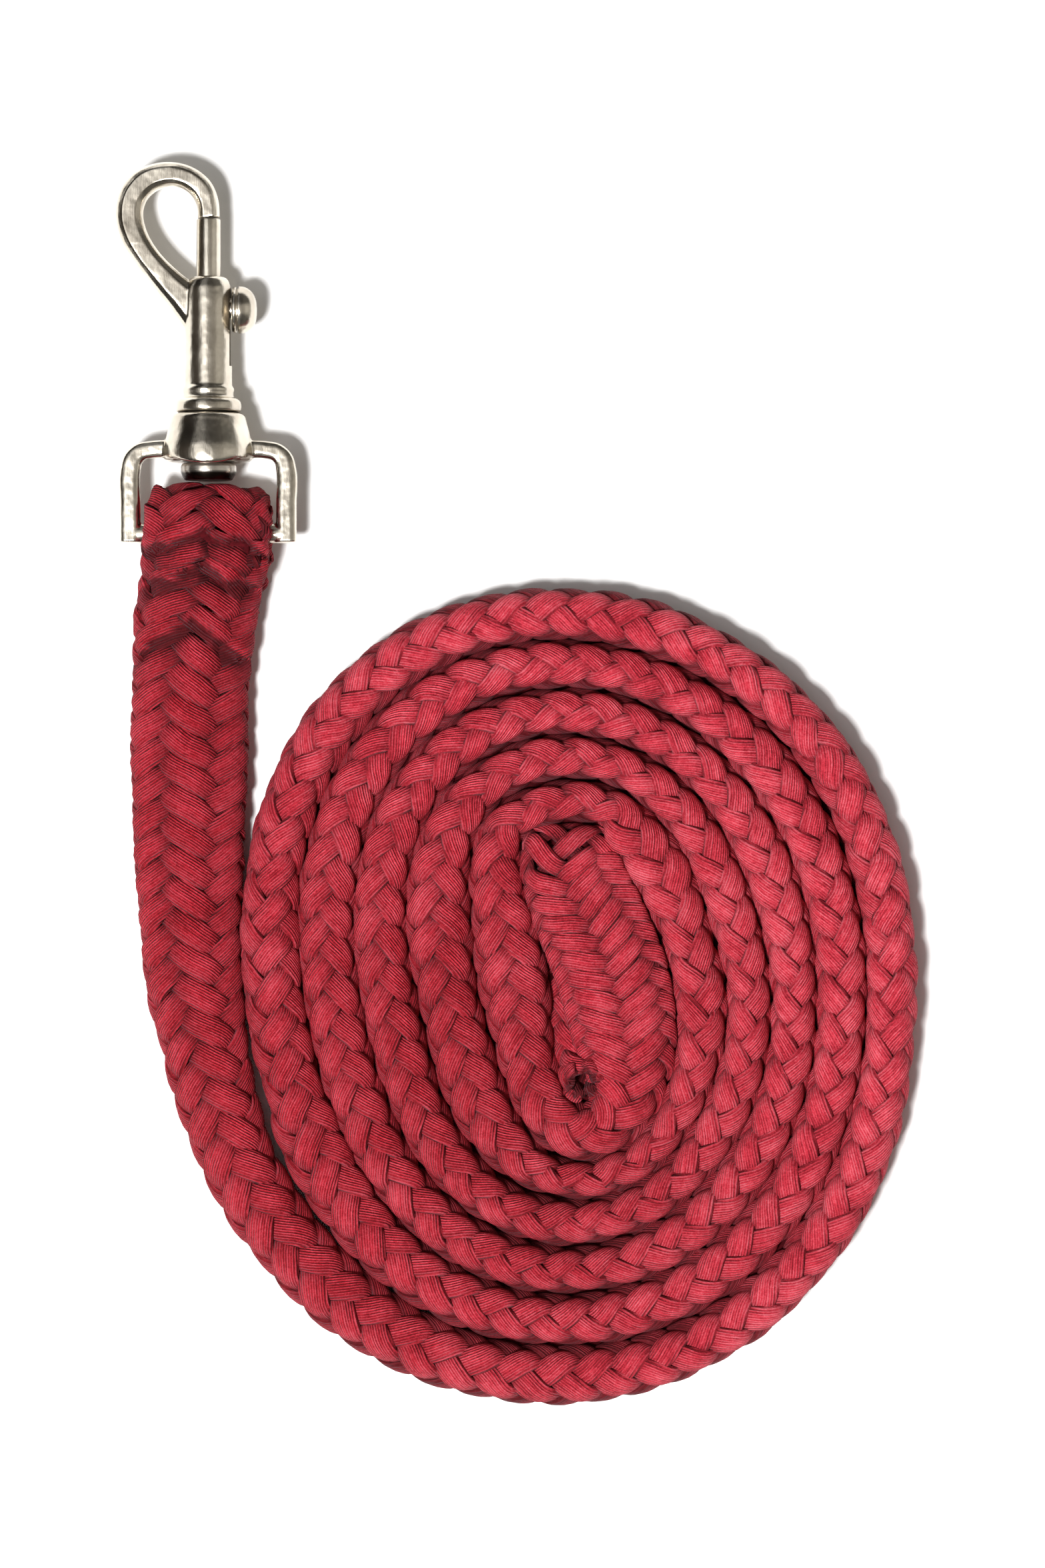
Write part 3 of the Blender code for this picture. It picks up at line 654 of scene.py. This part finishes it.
def rope_material(name, bright=1.0):
    m = Nodes(name)
    mark = m.node("ShaderNodeAttribute", attribute_name="braid").outputs["Vector"]
    painted_shade = m.node("ShaderNodeAttribute", attribute_name="painted_shade").outputs["Fac"]
    tone_and_shade = m.node("ShaderNodeAttribute", attribute_name="tone_and_shade").outputs["Fac"]
    axes = m.node("ShaderNodeSeparateXYZ", {0: mark})
    across, along, which = axes.outputs[0], axes.outputs[1], axes.outputs[2]
    place = m.node("ShaderNodeTexCoord").outputs["Object"]
    # yarns: about nine lie side by side in a strand; they wander a little
    drift = m.noise(
        m.node("ShaderNodeCombineXYZ", {0: m.math("MULTIPLY", which, 3.1), 1: m.math("MULTIPLY", along, 0.10), 2: 0.0}).outputs[0],
        1.0,
        1.0,
    )
    shifted = m.math("ADD", across, m.math("MULTIPLY", drift, 1.6))
    yarn = m.math("SINE", m.math("MULTIPLY", shifted, 2 * math.pi / 0.62))
    streak_at = m.node(
        "ShaderNodeCombineXYZ",
        {0: m.math("MULTIPLY", shifted, 2.6), 1: m.math("MULTIPLY", along, 0.16), 2: m.math("MULTIPLY", which, 5.3)},
    ).outputs[0]
    streak = m.noise(streak_at, 1.0, 4.0, 0.65)
    fine_at = m.node(
        "ShaderNodeCombineXYZ",
        {0: m.math("MULTIPLY", across, 9.0), 1: m.math("MULTIPLY", along, 0.9), 2: m.math("MULTIPLY", which, 2.3)},
    ).outputs[0]
    fine = m.noise(fine_at, 1.0, 3.0, 0.7)
    patch = m.noise(place, 95.0, 3.0, 0.6)
    fuzz = m.noise(place, 2600.0, 2.0, 0.7)
    deep = srgb(132 * bright, 17 * bright, 30 * bright)
    mid = srgb(200 * bright, 48 * bright, 64 * bright)
    light = srgb(232 * bright, 108 * bright, 120 * bright)
    tone = m.math("ADD", m.math("MULTIPLY", streak, 0.66), m.math("MULTIPLY", yarn, 0.085))
    tone = m.math("ADD", tone, m.math("MULTIPLY", fine, 0.34))
    tone = m.math("ADD", tone, m.math("MULTIPLY", m.math("SUBTRACT", patch, 0.5), 0.42))
    tone = m.math("ADD", tone, m.math("MULTIPLY", m.math("SUBTRACT", fuzz, 0.5), 0.34))
    rough_spots = m.math("SUBTRACT", m.noise(place, 900.0, 3.0, 0.65), 0.5)
    tone = m.math("ADD", tone, m.math("MULTIPLY", rough_spots, m.math("MULTIPLY_ADD", tone_and_shade, -0.10, 0.36)))
    tone = m.math("ADD", tone, m.math("MULTIPLY", yarn, m.math("MULTIPLY_ADD", tone_and_shade, -0.05, 0.05)))
    tone = m.math("ADD", tone, -0.04)
    colour = m.ramp(tone, [(0.27, deep), (0.46, mid), (0.70, light)])
    # painted highlights: light pink flecks where stray fibres would catch the light
    fleck_highlights = m.math("MULTIPLY", m.math("SUBTRACT", fuzz, 0.62, clamp=True), 4.0, clamp=True)
    # painted shade and tone: the splice is tinted a deeper red, and the coil darker towards its lower left as painted
    # shade
    full = m.ramp(tone_and_shade, [(0.0, (0.80, 0.40, 0.49)), (1.0, (1.05, 1.10, 1.12))])
    colour = m.mix(1.0, colour, full, "MULTIPLY")
    colour = m.mix(m.math("MULTIPLY", fleck_highlights, 0.40), colour, (*srgb(236, 132, 142), 1.0))
    # painted shade: the colour is darkened towards a deep maroon by each vertex's shade value
    shade_mix = m.ramp(painted_shade, [(0.02, 0.0), (0.30, 0.30), (0.80, 1.0)])
    colour = m.mix(m.math("MULTIPLY", shade_mix, 0.88), colour, (*srgb(60, 6, 11), 1.0))
    m.set("Base Color", colour)
    m.set("Roughness", m.math("ADD", m.math("MULTIPLY", fine, 0.18), 0.66))
    m.set("Specular IOR Level", 0.16)
    m.set("Sheen Weight", 0.06)
    m.set("Sheen Roughness", 0.45)
    m.set("Sheen Tint", (1.0, 0.50, 0.58, 1.0))
    ribbed = m.math("MULTIPLY", yarn, m.math("MULTIPLY_ADD", tone_and_shade, -0.30, 0.60))
    height = m.math("ADD", ribbed, m.math("MULTIPLY", streak, 0.75))
    height = m.math("ADD", height, m.math("MULTIPLY", fine, 0.45))
    height = m.math("ADD", height, m.math("MULTIPLY", fuzz, 0.30))
    height = m.math("ADD", height, m.math("MULTIPLY", rough_spots, 0.4))
    bump = m.node("ShaderNodeBump", {"Strength": 0.95, "Distance": 0.00042, "Height": height})
    m.set("Normal", bump.outputs[0])
    return m.mat


def core_shade_material(name):
    m = Nodes(name)
    place = m.node("ShaderNodeTexCoord").outputs["Object"]
    grain = m.noise(place, 900.0, 3.0)
    # painted shade: the inside is given the dark maroon of the shade between the strands
    m.set("Base Color", m.ramp(grain, [(0.3, srgb(48, 5, 9)), (0.7, srgb(86, 14, 22))]))
    m.set("Roughness", 0.9)
    m.set("Specular IOR Level", 0.1)
    return m.mat


def tail_material(name):
    m = Nodes(name)
    place = m.node("ShaderNodeTexCoord").outputs["Object"]
    grain = m.noise(place, 500.0, 4.0)
    m.set("Base Color", m.ramp(grain, [(0.3, srgb(110, 18, 28)), (0.7, srgb(180, 46, 60))]))
    m.set("Roughness", m.math("ADD", m.math("MULTIPLY", grain, 0.2), 0.7))
    bump = m.node("ShaderNodeBump", {"Strength": 0.6, "Distance": 0.0004, "Height": grain})
    m.set("Normal", bump.outputs[0])
    return m.mat


def nickel(name, dark=(150, 140, 126), light=(232, 224, 209), rough=0.15, wave=1.0, crevice_shade=0.55, shade_below=None):
    """Nickel plate over a die casting: polished, with casting waves and faint scratches; its crevices are rougher and
    darkened with painted shade.
    """
    m = Nodes(name)
    place = m.node("ShaderNodeTexCoord").outputs["Object"]
    blotch = m.noise(place, 120.0, 4.0, 0.6)
    fine = m.noise(place, 1500.0, 4.0, 0.7)
    crevice = m.node("ShaderNodeAmbientOcclusion", {"Distance": 0.0022}, samples=6, inside=False).outputs["AO"]
    # painted shade: darkened towards a dark brown where the ambient occlusion node finds crevices
    crevice_shade_mix = m.math("MULTIPLY", m.math("SUBTRACT", 1.0, crevice, clamp=True), crevice_shade, clamp=True)
    colour = m.ramp(blotch, [(0.25, srgb(*[0.5 * (a + b) for a, b in zip(dark, light)])), (0.62, srgb(*light))])
    colour = m.mix(m.math("MULTIPLY", m.math("SUBTRACT", fine, 0.58, clamp=True), 0.8), colour, (*srgb(*dark), 1.0))
    colour = m.mix(crevice_shade_mix, colour, (*srgb(70, 58, 48), 1.0))
    # painted shade: the rivet's head is darker low down, where it sits in shadow over the rope
    if shade_below is not None:  # darkened below this height along the stem
        along = m.node("ShaderNodeSeparateXYZ", {0: place}).outputs[1]
        shade_ramp = m.ramp(m.math("MULTIPLY_ADD", along, 500.0, -500.0 * shade_below + 0.5), [(0.3, 1.0), (0.7, 0.0)])
        colour = m.mix(shade_ramp, colour, (*srgb(52, 44, 38), 1.0))
    m.set("Base Color", colour)
    m.set("Metallic", 1.0)
    m.set("Roughness", m.math("ADD", m.math("ADD", rough, m.math("MULTIPLY", blotch, 0.10)), m.math("MULTIPLY", crevice_shade_mix, 0.35)))
    slow = m.noise(place, 190.0, 2.0, 0.5)
    scratch_at = m.node("ShaderNodeMapping", {"Vector": place, "Scale": (5200.0, 320.0, 5200.0)}).outputs[0]
    scratch = m.noise(scratch_at, 1.0, 2.0, 0.6)
    height = m.math("ADD", m.math("MULTIPLY", slow, 1.0 * wave), m.math("MULTIPLY", scratch, 0.05))
    height = m.math("ADD", height, m.math("MULTIPLY", fine, 0.04))
    bump = m.node("ShaderNodeBump", {"Strength": 0.55, "Distance": 0.0006, "Height": height})
    m.set("Normal", bump.outputs[0])
    return m.mat


def steel(name, tone=(150, 146, 140), rough=0.3):
    m = Nodes(name)
    place = m.node("ShaderNodeTexCoord").outputs["Object"]
    grain = m.noise(place, 800.0, 4.0, 0.6)
    m.set("Base Color", m.ramp(grain, [(0.3, srgb(*[0.75 * t for t in tone])), (0.7, srgb(*tone))]))
    m.set("Metallic", 1.0)
    m.set("Roughness", m.math("ADD", m.math("MULTIPLY", grain, 0.2), rough))
    bump = m.node("ShaderNodeBump", {"Strength": 0.3, "Distance": 0.0002, "Height": grain})
    m.set("Normal", bump.outputs[0])
    return m.mat


# ==== the rope ======================================================================================

rope_look = rope_material("rope_braid")
core_shade_look = core_shade_material("rope_inside_shade")
pairs = [[(n, 1), ((n + 3) % 6, -1)] for n in range(6)]
for n, pair in enumerate(pairs):
    piece = braid_piece(f"rope_strands_{n + 1}", pair, core_rings() if n == 0 else None)
    piece.data.materials.append(rope_look)
    if n == 0:
        piece.data.materials.append(core_shade_look)
    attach(piece, "rope")
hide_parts("rope_eye", "rope_splice", "rope_coil")

# ==== the metal =====================================================================================



def about_stem(r, angle, h):
    return r * math.cos(angle), h, AXIS_Z + r * math.sin(angle)


def about_knob(r, angle, h):
    return h, 53.0 + r * math.cos(angle), AXIS_Z + r * math.sin(angle)


def rounded(profile, radius=0.3, steps=4):
    """A profile of (r, h) with its corners rounded; the ends on the axis stay."""
    out = [profile[0]]
    for (r0, h0), (r1, h1), (r2, h2) in zip(profile, profile[1:], profile[2:]):
        la, lb = math.hypot(r1 - r0, h1 - h0), math.hypot(r2 - r1, h2 - h1)
        cut = min(radius, 0.45 * la, 0.45 * lb)
        a = (r1 + (r0 - r1) * cut / la, h1 + (h0 - h1) * cut / la)
        b = (r1 + (r2 - r1) * cut / lb, h1 + (h2 - h1) * cut / lb)
        for k in range(steps + 1):
            f = k / steps
            out.append(
                tuple((1 - f) ** 2 * p + 2 * f * (1 - f) * q + f * f * w for p, q, w in zip(a, (r1, h1), b))
            )
    out.append(profile[-1])
    return out


class Shape:
    """Closed shells gathered in one mesh, in (u, v, z) millimetres."""

    def __init__(self):
        self.verts, self.faces = [], []

    def lathe(self, profile, place, segments=64):
        base = len(self.verts)
        ring_at = []
        for r, h in profile:
            if r < 1e-6:
                ring_at.append((len(self.verts), 1))
                self.verts.append(place(0.0, 0.0, h))
            else:
                ring_at.append((len(self.verts), segments))
                self.verts += [place(r, 2 * math.pi * k / segments, h) for k in range(segments)]
        closed = ring_at[0][1] > 1
        pairs = list(zip(ring_at, ring_at[1:])) + ([(ring_at[-1], ring_at[0])] if closed else [])
        for (a, na), (b, nb) in pairs:
            for k in range(segments):
                j = (k + 1) % segments
                if na == 1:
                    self.faces.append((a, b + j, b + k))
                elif nb == 1:
                    self.faces.append((a + k, a + j, b))
                else:
                    self.faces.append((a + k, a + j, b + j, b + k))
        return self

    def loft(self, stations, outline):
        """Sections across a flat route: a station is (u, v, half width, half thickness)."""
        pts = through([(u, v, 0.0, w, t) for u, v, w, t in stations], 0.5)
        run = unit(np.gradient(pts[:, :2], axis=0))
        n = len(outline)
        base = len(self.verts)
        for (u, v, _, w, t), (du, dv) in zip(pts, run):
            self.verts += [(u + dv * x * w, v - du * x * w, AXIS_Z + y * t) for x, y in outline]
        for i in range(len(pts) - 1):
            for k in range(n):
                j = (k + 1) % n
                a, b = base + i * n, base + (i + 1) * n
                self.faces.append((a + k, a + j, b + j, b + k))
        self.faces.append(tuple(base + k for k in range(n))[::-1])
        self.faces.append(tuple(base + (len(pts) - 1) * n + k for k in range(n)))
        return self

    def block(self, u0, u1, v0, v1, z0, z1):
        b = len(self.verts)
        self.verts += [(u, v, z) for z in (z0, z1) for v in (v0, v1) for u in (u0, u1)]
        self.faces += [tuple(b + k for k in f) for f in ((0, 2, 3, 1), (4, 5, 7, 6), (0, 1, 5, 4), (2, 6, 7, 3), (0, 4, 6, 2), (1, 3, 7, 5))]
        return self

    def object(self, name):
        me = bpy.data.meshes.new(name)
        me.from_pydata([tuple(c * MM for c in world(*p)) for p in self.verts], [], self.faces)
        import bmesh

        bm = bmesh.new()
        bm.from_mesh(me)
        bmesh.ops.recalc_face_normals(bm, faces=bm.faces)
        bm.to_mesh(me)
        bm.free()
        me.polygons.foreach_set("use_smooth", np.ones(len(me.polygons), bool))
        o = bpy.data.objects.new(name, me)
        bpy.context.scene.collection.objects.link(o)
        return o


def settled(o):
    """Applies an object's modifiers to a new mesh."""
    dg = bpy.context.evaluated_depsgraph_get()
    me = bpy.data.meshes.new_from_object(o.evaluated_get(dg))
    o.modifiers.clear()
    o.data = me
    return o


def cast(shape, name, voxel, rounds, warp=None, cutters=()):
    """A casting: the shells melt into one skin with soft fillets, and then it is drilled and slotted."""
    o = shape.object(name)
    r = o.modifiers.new("cast", "REMESH")
    r.mode, r.voxel_size = "VOXEL", voxel * MM
    sm = o.modifiers.new("polish", "SMOOTH")
    sm.factor, sm.iterations = 0.5, rounds
    settled(o)
    if warp:
        co = np.empty(len(o.data.vertices) * 3, np.float32)
        o.data.vertices.foreach_get("co", co)
        co = warp(co.reshape(-1, 3).astype(float) / MM) * MM
        o.data.vertices.foreach_set("co", co.astype(np.float32).ravel())
    for k, cutter in enumerate(cutters):
        tool = cutter.object(f"{name}_tool_{k}")
        m = o.modifiers.new("cut", "BOOLEAN")
        m.operation, m.solver, m.object = "DIFFERENCE", "EXACT", tool
        settled(o)
        bpy.data.objects.remove(tool)
    o.data.polygons.foreach_set("use_smooth", np.ones(len(o.data.polygons), bool))
    o.data.set_sharp_from_angle(angle=math.radians(42))
    o.data.update()
    return o


BEVELLED = [(1.0, 0.25), (0.84, 0.70), (0.50, 1.0), (-0.50, 1.0), (-0.84, 0.70), (-1.0, 0.25)]
BEVELLED += [(x, -y) for x, y in BEVELLED[::-1]]
BAR = [(1.0, 0.45), (0.86, 0.86), (0.45, 1.0), (-0.45, 1.0), (-0.86, 0.86), (-1.0, 0.45)]
BAR += [(x, -y) for x, y in BAR[::-1]]

body = Shape()
body.lathe(
    rounded(
        [
            (0, 28.7),
            (7.6, 28.7),
            (7.9, 29.6),
            (7.75, 31.2),
            (7.0, 31.9),
            (6.15, 32.1),
            (5.95, 33.2),
            (6.25, 33.8),
            (6.1, 34.5),
            (5.65, 35.0),
            (5.6, 40.0),
            (5.6, 55.5),
            (5.35, 58.4),
            (4.7, 60.1),
            (3.9, 60.8),
            (0, 60.8),
        ],
        0.5,
    ),
    about_stem,
    72,
)
body.loft(
    [
        (-1.8, 50.6, 4.2, 3.0),
        (-5.4, 55.4, 4.1, 3.2),
        (-9.3, 59.4, 3.5, 3.2),
        (-12.3, 62.7, 3.15, 3.15),
        (-15.2, 66.4, 3.05, 3.1),
        (-17.7, 70.9, 3.2, 3.1),
        (-18.7, 75.8, 3.25, 3.1),
        (-17.8, 80.0, 3.3, 3.1),
        (-14.9, 83.4, 3.25, 3.1),
        (-10.9, 84.95, 3.0, 3.1),
        (-7.2, 84.95, 2.85, 3.05),
        (-4.0, 83.7, 2.85, 3.0),
        (-1.6, 81.5, 2.85, 2.9),
        (-0.3, 78.6, 2.7, 2.8),
        (0.1, 74.75, 2.6, 2.7),
    ],
    BEVELLED,
)
snap = cast(
    body,
    "snap_casting",
    0.24,
    5,
    cutters=(
        Shape().lathe([(0, 28.0), (3.15, 28.0), (3.15, 61.5), (0, 61.5)], about_stem, 48),
        Shape().block(1.5, 7.5, 39.6, 55.6, AXIS_Z - 2.3, AXIS_Z + 2.3),
    ),
)

bail_shape = Shape()
bail_shape.lathe(
    rounded(
        [
            (0, 16.9),
            (9.4, 16.9),
            (10.55, 17.5),
            (10.85, 19.0),
            (10.6, 21.0),
            (9.9, 23.4),
            (9.2, 26.0),
            (8.8, 27.8),
            (8.0, 28.4),
            (0, 28.4),
        ],
        0.7,
    ),
    about_stem,
    80,
)
for side in (-1, 1):
    bail_shape.loft(
        [
            (side * 6.0, 20.0, 2.15, 2.5),
            (side * 10.0, 20.0, 2.1, 2.5),
            (side * 13.6, 19.8, 2.05, 2.4),
            (side * 16.2, 19.2, 2.15, 2.35),
            (side * 17.8, 17.6, 2.3, 2.35),
            (side * 18.45, 15.0, 2.4, 2.35),
            (side * 18.5, 7.0, 2.4, 2.35),
            (side * 18.5, -2.1, 2.4, 2.35),
        ],
        BAR,
    )


def about_bar(r, angle, h):
    return h, r * math.cos(angle), AXIS_Z + r * math.sin(angle)


bail_shape.lathe(
    [(0, -19.5), (2.35, -19.5), (2.35, -14.3), (2.12, -13.6), (2.12, 13.6), (2.35, 14.3), (2.35, 19.5), (0, 19.5)],
    about_bar,
    32,
)


def skirt(co):
    """The hub's lip hangs lower at its front and back than at its sides, outside the rivet's flange."""
    v = co[:, 1] - STEM_Y
    across = np.abs(co[:, 0] - STEM_X)
    lift = np.clip((np.abs(co[:, 2] - AXIS_Z) - 6.9) / 4.0, 0, 1) ** 1.4
    near = np.clip((20.5 - v) / 3.5, 0, 1)
    near = near * near * (3 - 2 * near) * (across < 11) * (v > 15.5)
    co[:, 1] -= 1.5 * lift * near
    return co


bail_piece = cast(
    bail_shape,
    "bail_casting",
    0.25,
    5,
    warp=skirt,
    cutters=(Shape().lathe([(0, 15.0), (3.2, 15.0), (3.2, 29.0), (0, 29.0)], about_stem, 48),),
)

bolt = (
    Shape()
    .lathe(rounded([(0, 61.0), (2.35, 61.0), (2.35, 50.4), (2.85, 50.4), (2.85, 74.5), (0, 74.5)], 0.25), about_stem, 56)
    .object("gate_bolt")
)
dome = [(5.6 * math.cos(a) ** 0.72, 7.35 + 4.15 * math.sin(a)) for a in (math.radians(7.5 * k) for k in range(1, 12))]
knob = (
    Shape()
    .lathe(
        rounded(
            [(0, 3.2), (1.8, 3.2), (1.8, 5.7), (5.2, 5.7), (5.4, 6.1), (5.4, 6.6), (5.0, 6.8), (5.0, 7.05), (5.6, 7.15)] + dome + [(0, 11.55)],
            0.18,
            3,
        ),
        about_knob,
        72,
    )
    .object("gate_knob")
)
rivet = (
    Shape()
    .lathe(
        rounded([(0, 12.6), (5.6, 12.6), (6.2, 13.6), (6.6, 14.6), (6.6, 15.9), (6.2, 16.6), (2.9, 16.6), (2.9, 34.0), (0, 34.0)], 0.35),
        about_stem,
        64,
    )
    .object("rivet")
)
for o in (bolt, knob, rivet):
    o.data.set_sharp_from_angle(angle=math.radians(50))

for o, riding, node, slot_name, look in (
    (snap, "snap", "snap_body", "snap_nickel", nickel("snap_nickel_look")),
    (bail_piece, "bail", "swivel_bail", "bail_nickel", nickel("bail_nickel_look", wave=1.1)),
    (bolt, "gate", "gate_plunger", "gate_nickel", nickel("gate_nickel_look", rough=0.12, wave=0.3)),
    (knob, "gate", "thumb_knob", "knob_nickel", nickel("knob_nickel_look", rough=0.14, wave=0.5)),
    (
        rivet,
        "snap",
        "swivel_rivet",
        "rivet_steel",
        nickel("rivet_look", dark=(120, 116, 110), light=(212, 205, 195), rough=0.2, wave=0.4, shade_below=-0.0284),
    ),
):
    o.data.materials.clear()
    o.data.materials.append(look)
    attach(o, riding)
    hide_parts(node)

# The return spring: it goes up into the hollow end of the bolt when the gate is drawn.
coil = Shape()
turns_along, wire = np.linspace(0, 1, 8 * 30 + 1), 0.3
for f in turns_along:
    a = 2 * math.pi * 8 * f
    rise = 34.6 + 15.2 * min(max((f - 0.1) / 0.8, 0.0), 1.0) + 0.35 * (min(f, 0.1) - 0.1 + max(f, 0.9) - 0.9) / 0.1
    for k in range(8):
        b = 2 * math.pi * k / 8
        r = 1.78 + wire * math.cos(b)
        coil.verts.append((r * math.cos(a), rise + wire * math.sin(b), AXIS_Z + r * math.sin(a)))
for i in range(len(turns_along) - 1):
    for k in range(8):
        j = (k + 1) % 8
        coil.faces.append((i * 8 + k, i * 8 + j, (i + 1) * 8 + j, (i + 1) * 8 + k))
coil.faces.append(tuple(range(8))[::-1])
coil.faces.append(tuple((len(turns_along) - 1) * 8 + k for k in range(8)))
wound = coil.object("spring")
wound.data.materials.append(steel("spring_look"))
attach(wound, "snap")
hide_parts("return_spring")

cad = {o["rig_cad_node"]: o for o in bpy.data.objects if "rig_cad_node" in o}
for name, look in (("rope_tail", tail_material("rope_tail_look")),):
    cad[name].data.materials.clear()
    cad[name].data.materials.append(look)
    for face in cad[name].data.polygons:
        face.use_smooth = True

# ==== floor and light ===============================================================================

half = 1.6
floor_mesh = bpy.data.meshes.new("floor")
floor_mesh.from_pydata(
    [(0.075 - half, -0.1 - half, -0.0001), (0.075 + half, -0.1 - half, -0.0001), (0.075 + half, -0.1 + half, -0.0001), (0.075 - half, -0.1 + half, -0.0001)],
    [],
    [(0, 1, 2, 3)],
)
floor = bpy.data.objects.new("floor", floor_mesh)
bpy.context.scene.collection.objects.link(floor)
fm = Nodes("floor_look")
grain = fm.noise(fm.node("ShaderNodeTexCoord").outputs["Object"], 60.0, 3.0)
fm.set("Base Color", fm.ramp(grain, [(0.3, (0.90, 0.90, 0.90)), (0.7, (0.93, 0.93, 0.93))]))
fm.set("Roughness", 1.0)
fm.set("Specular IOR Level", 0.0)
floor_mesh.materials.append(fm.mat)


def area(name, place, aim, size, power, colour=(1, 1, 1)):
    data = bpy.data.lights.new(name, "AREA")
    data.shape, data.size, data.size_y = "RECTANGLE", size[0], size[1]
    data.energy, data.color = power, colour
    o = bpy.data.objects.new(name, data)
    o.location = place
    o.rotation_mode = "QUATERNION"
    o.rotation_quaternion = (Vector(aim) - Vector(place)).to_track_quat("-Z", "Y")
    bpy.context.scene.collection.objects.link(o)
    return o


AIM = (0.07, -0.11, 0.0)
area("key", (-0.38, -0.52, 1.75), AIM, (0.27, 0.27), 50.5, (1.0, 0.99, 0.98))

sky = bpy.data.worlds.new("studio")
bpy.context.scene.world = sky
sky.use_nodes = True
t = sky.node_tree
for n in list(t.nodes):
    t.nodes.remove(n)
coord = t.nodes.new("ShaderNodeTexCoord")
split = t.nodes.new("ShaderNodeSeparateXYZ")
t.links.new(coord.outputs["Generated"], split.inputs[0])
turn = t.nodes.new("ShaderNodeMath")
turn.operation = "ARCTAN2"
t.links.new(split.outputs[0], turn.inputs[0])
t.links.new(split.outputs[2], turn.inputs[1])
scaled = t.nodes.new("ShaderNodeMath")
scaled.operation = "MULTIPLY_ADD"
t.links.new(turn.outputs[0], scaled.inputs[0])
scaled.inputs[1].default_value, scaled.inputs[2].default_value = 1 / (2 * math.pi), 0.5
ramp = t.nodes.new("ShaderNodeValToRGB")
t.links.new(scaled.outputs[0], ramp.inputs[0])
# the angle from straight up, towards -X below a half and +X above it
stops = (
    (-112, (0.70, 0.67, 0.63)),
    (-98, (0.12, 0.10, 0.08)),
    (-46, (0.14, 0.11, 0.085)),
    (-36, (1.00, 0.98, 0.95)),
    (-30, (3.6, 3.6, 3.6)),
    (-10, (3.6, 3.6, 3.6)),
    (-2, (1.20, 1.16, 1.10)),
    (10, (0.85, 0.80, 0.73)),
    (34, (0.95, 0.89, 0.80)),
    (48, (1.75, 1.68, 1.53)),
    (100, (1.35, 1.30, 1.20)),
)
while len(ramp.color_ramp.elements) < len(stops):
    ramp.color_ramp.elements.new(0.5)
for e, (angle, colour) in zip(ramp.color_ramp.elements, stops):
    e.position = angle / 360 + 0.5
    e.color = (*colour, 1.0)
# less comes from the two ends of the room than from its sides
ends = t.nodes.new("ShaderNodeMath")
ends.operation = "ABSOLUTE"
t.links.new(split.outputs[1], ends.inputs[0])
dim = t.nodes.new("ShaderNodeValToRGB")
t.links.new(ends.outputs[0], dim.inputs[0])
for e, (at, level) in zip(dim.color_ramp.elements, ((0.20, 1.0), (0.50, 0.20))):
    e.position, e.color = at, (level, level, level, 1.0)
both = t.nodes.new("ShaderNodeMix")
both.data_type, both.blend_type = "RGBA", "MULTIPLY"
both.inputs[0].default_value = 1.0
t.links.new(ramp.outputs[0], both.inputs[6])
t.links.new(dim.outputs[0], both.inputs[7])
back = t.nodes.new("ShaderNodeBackground")
back.inputs[1].default_value = 0.32
out = t.nodes.new("ShaderNodeOutputWorld")
t.links.new(both.outputs[2], back.inputs[0])
t.links.new(back.outputs[0], out.inputs[0])
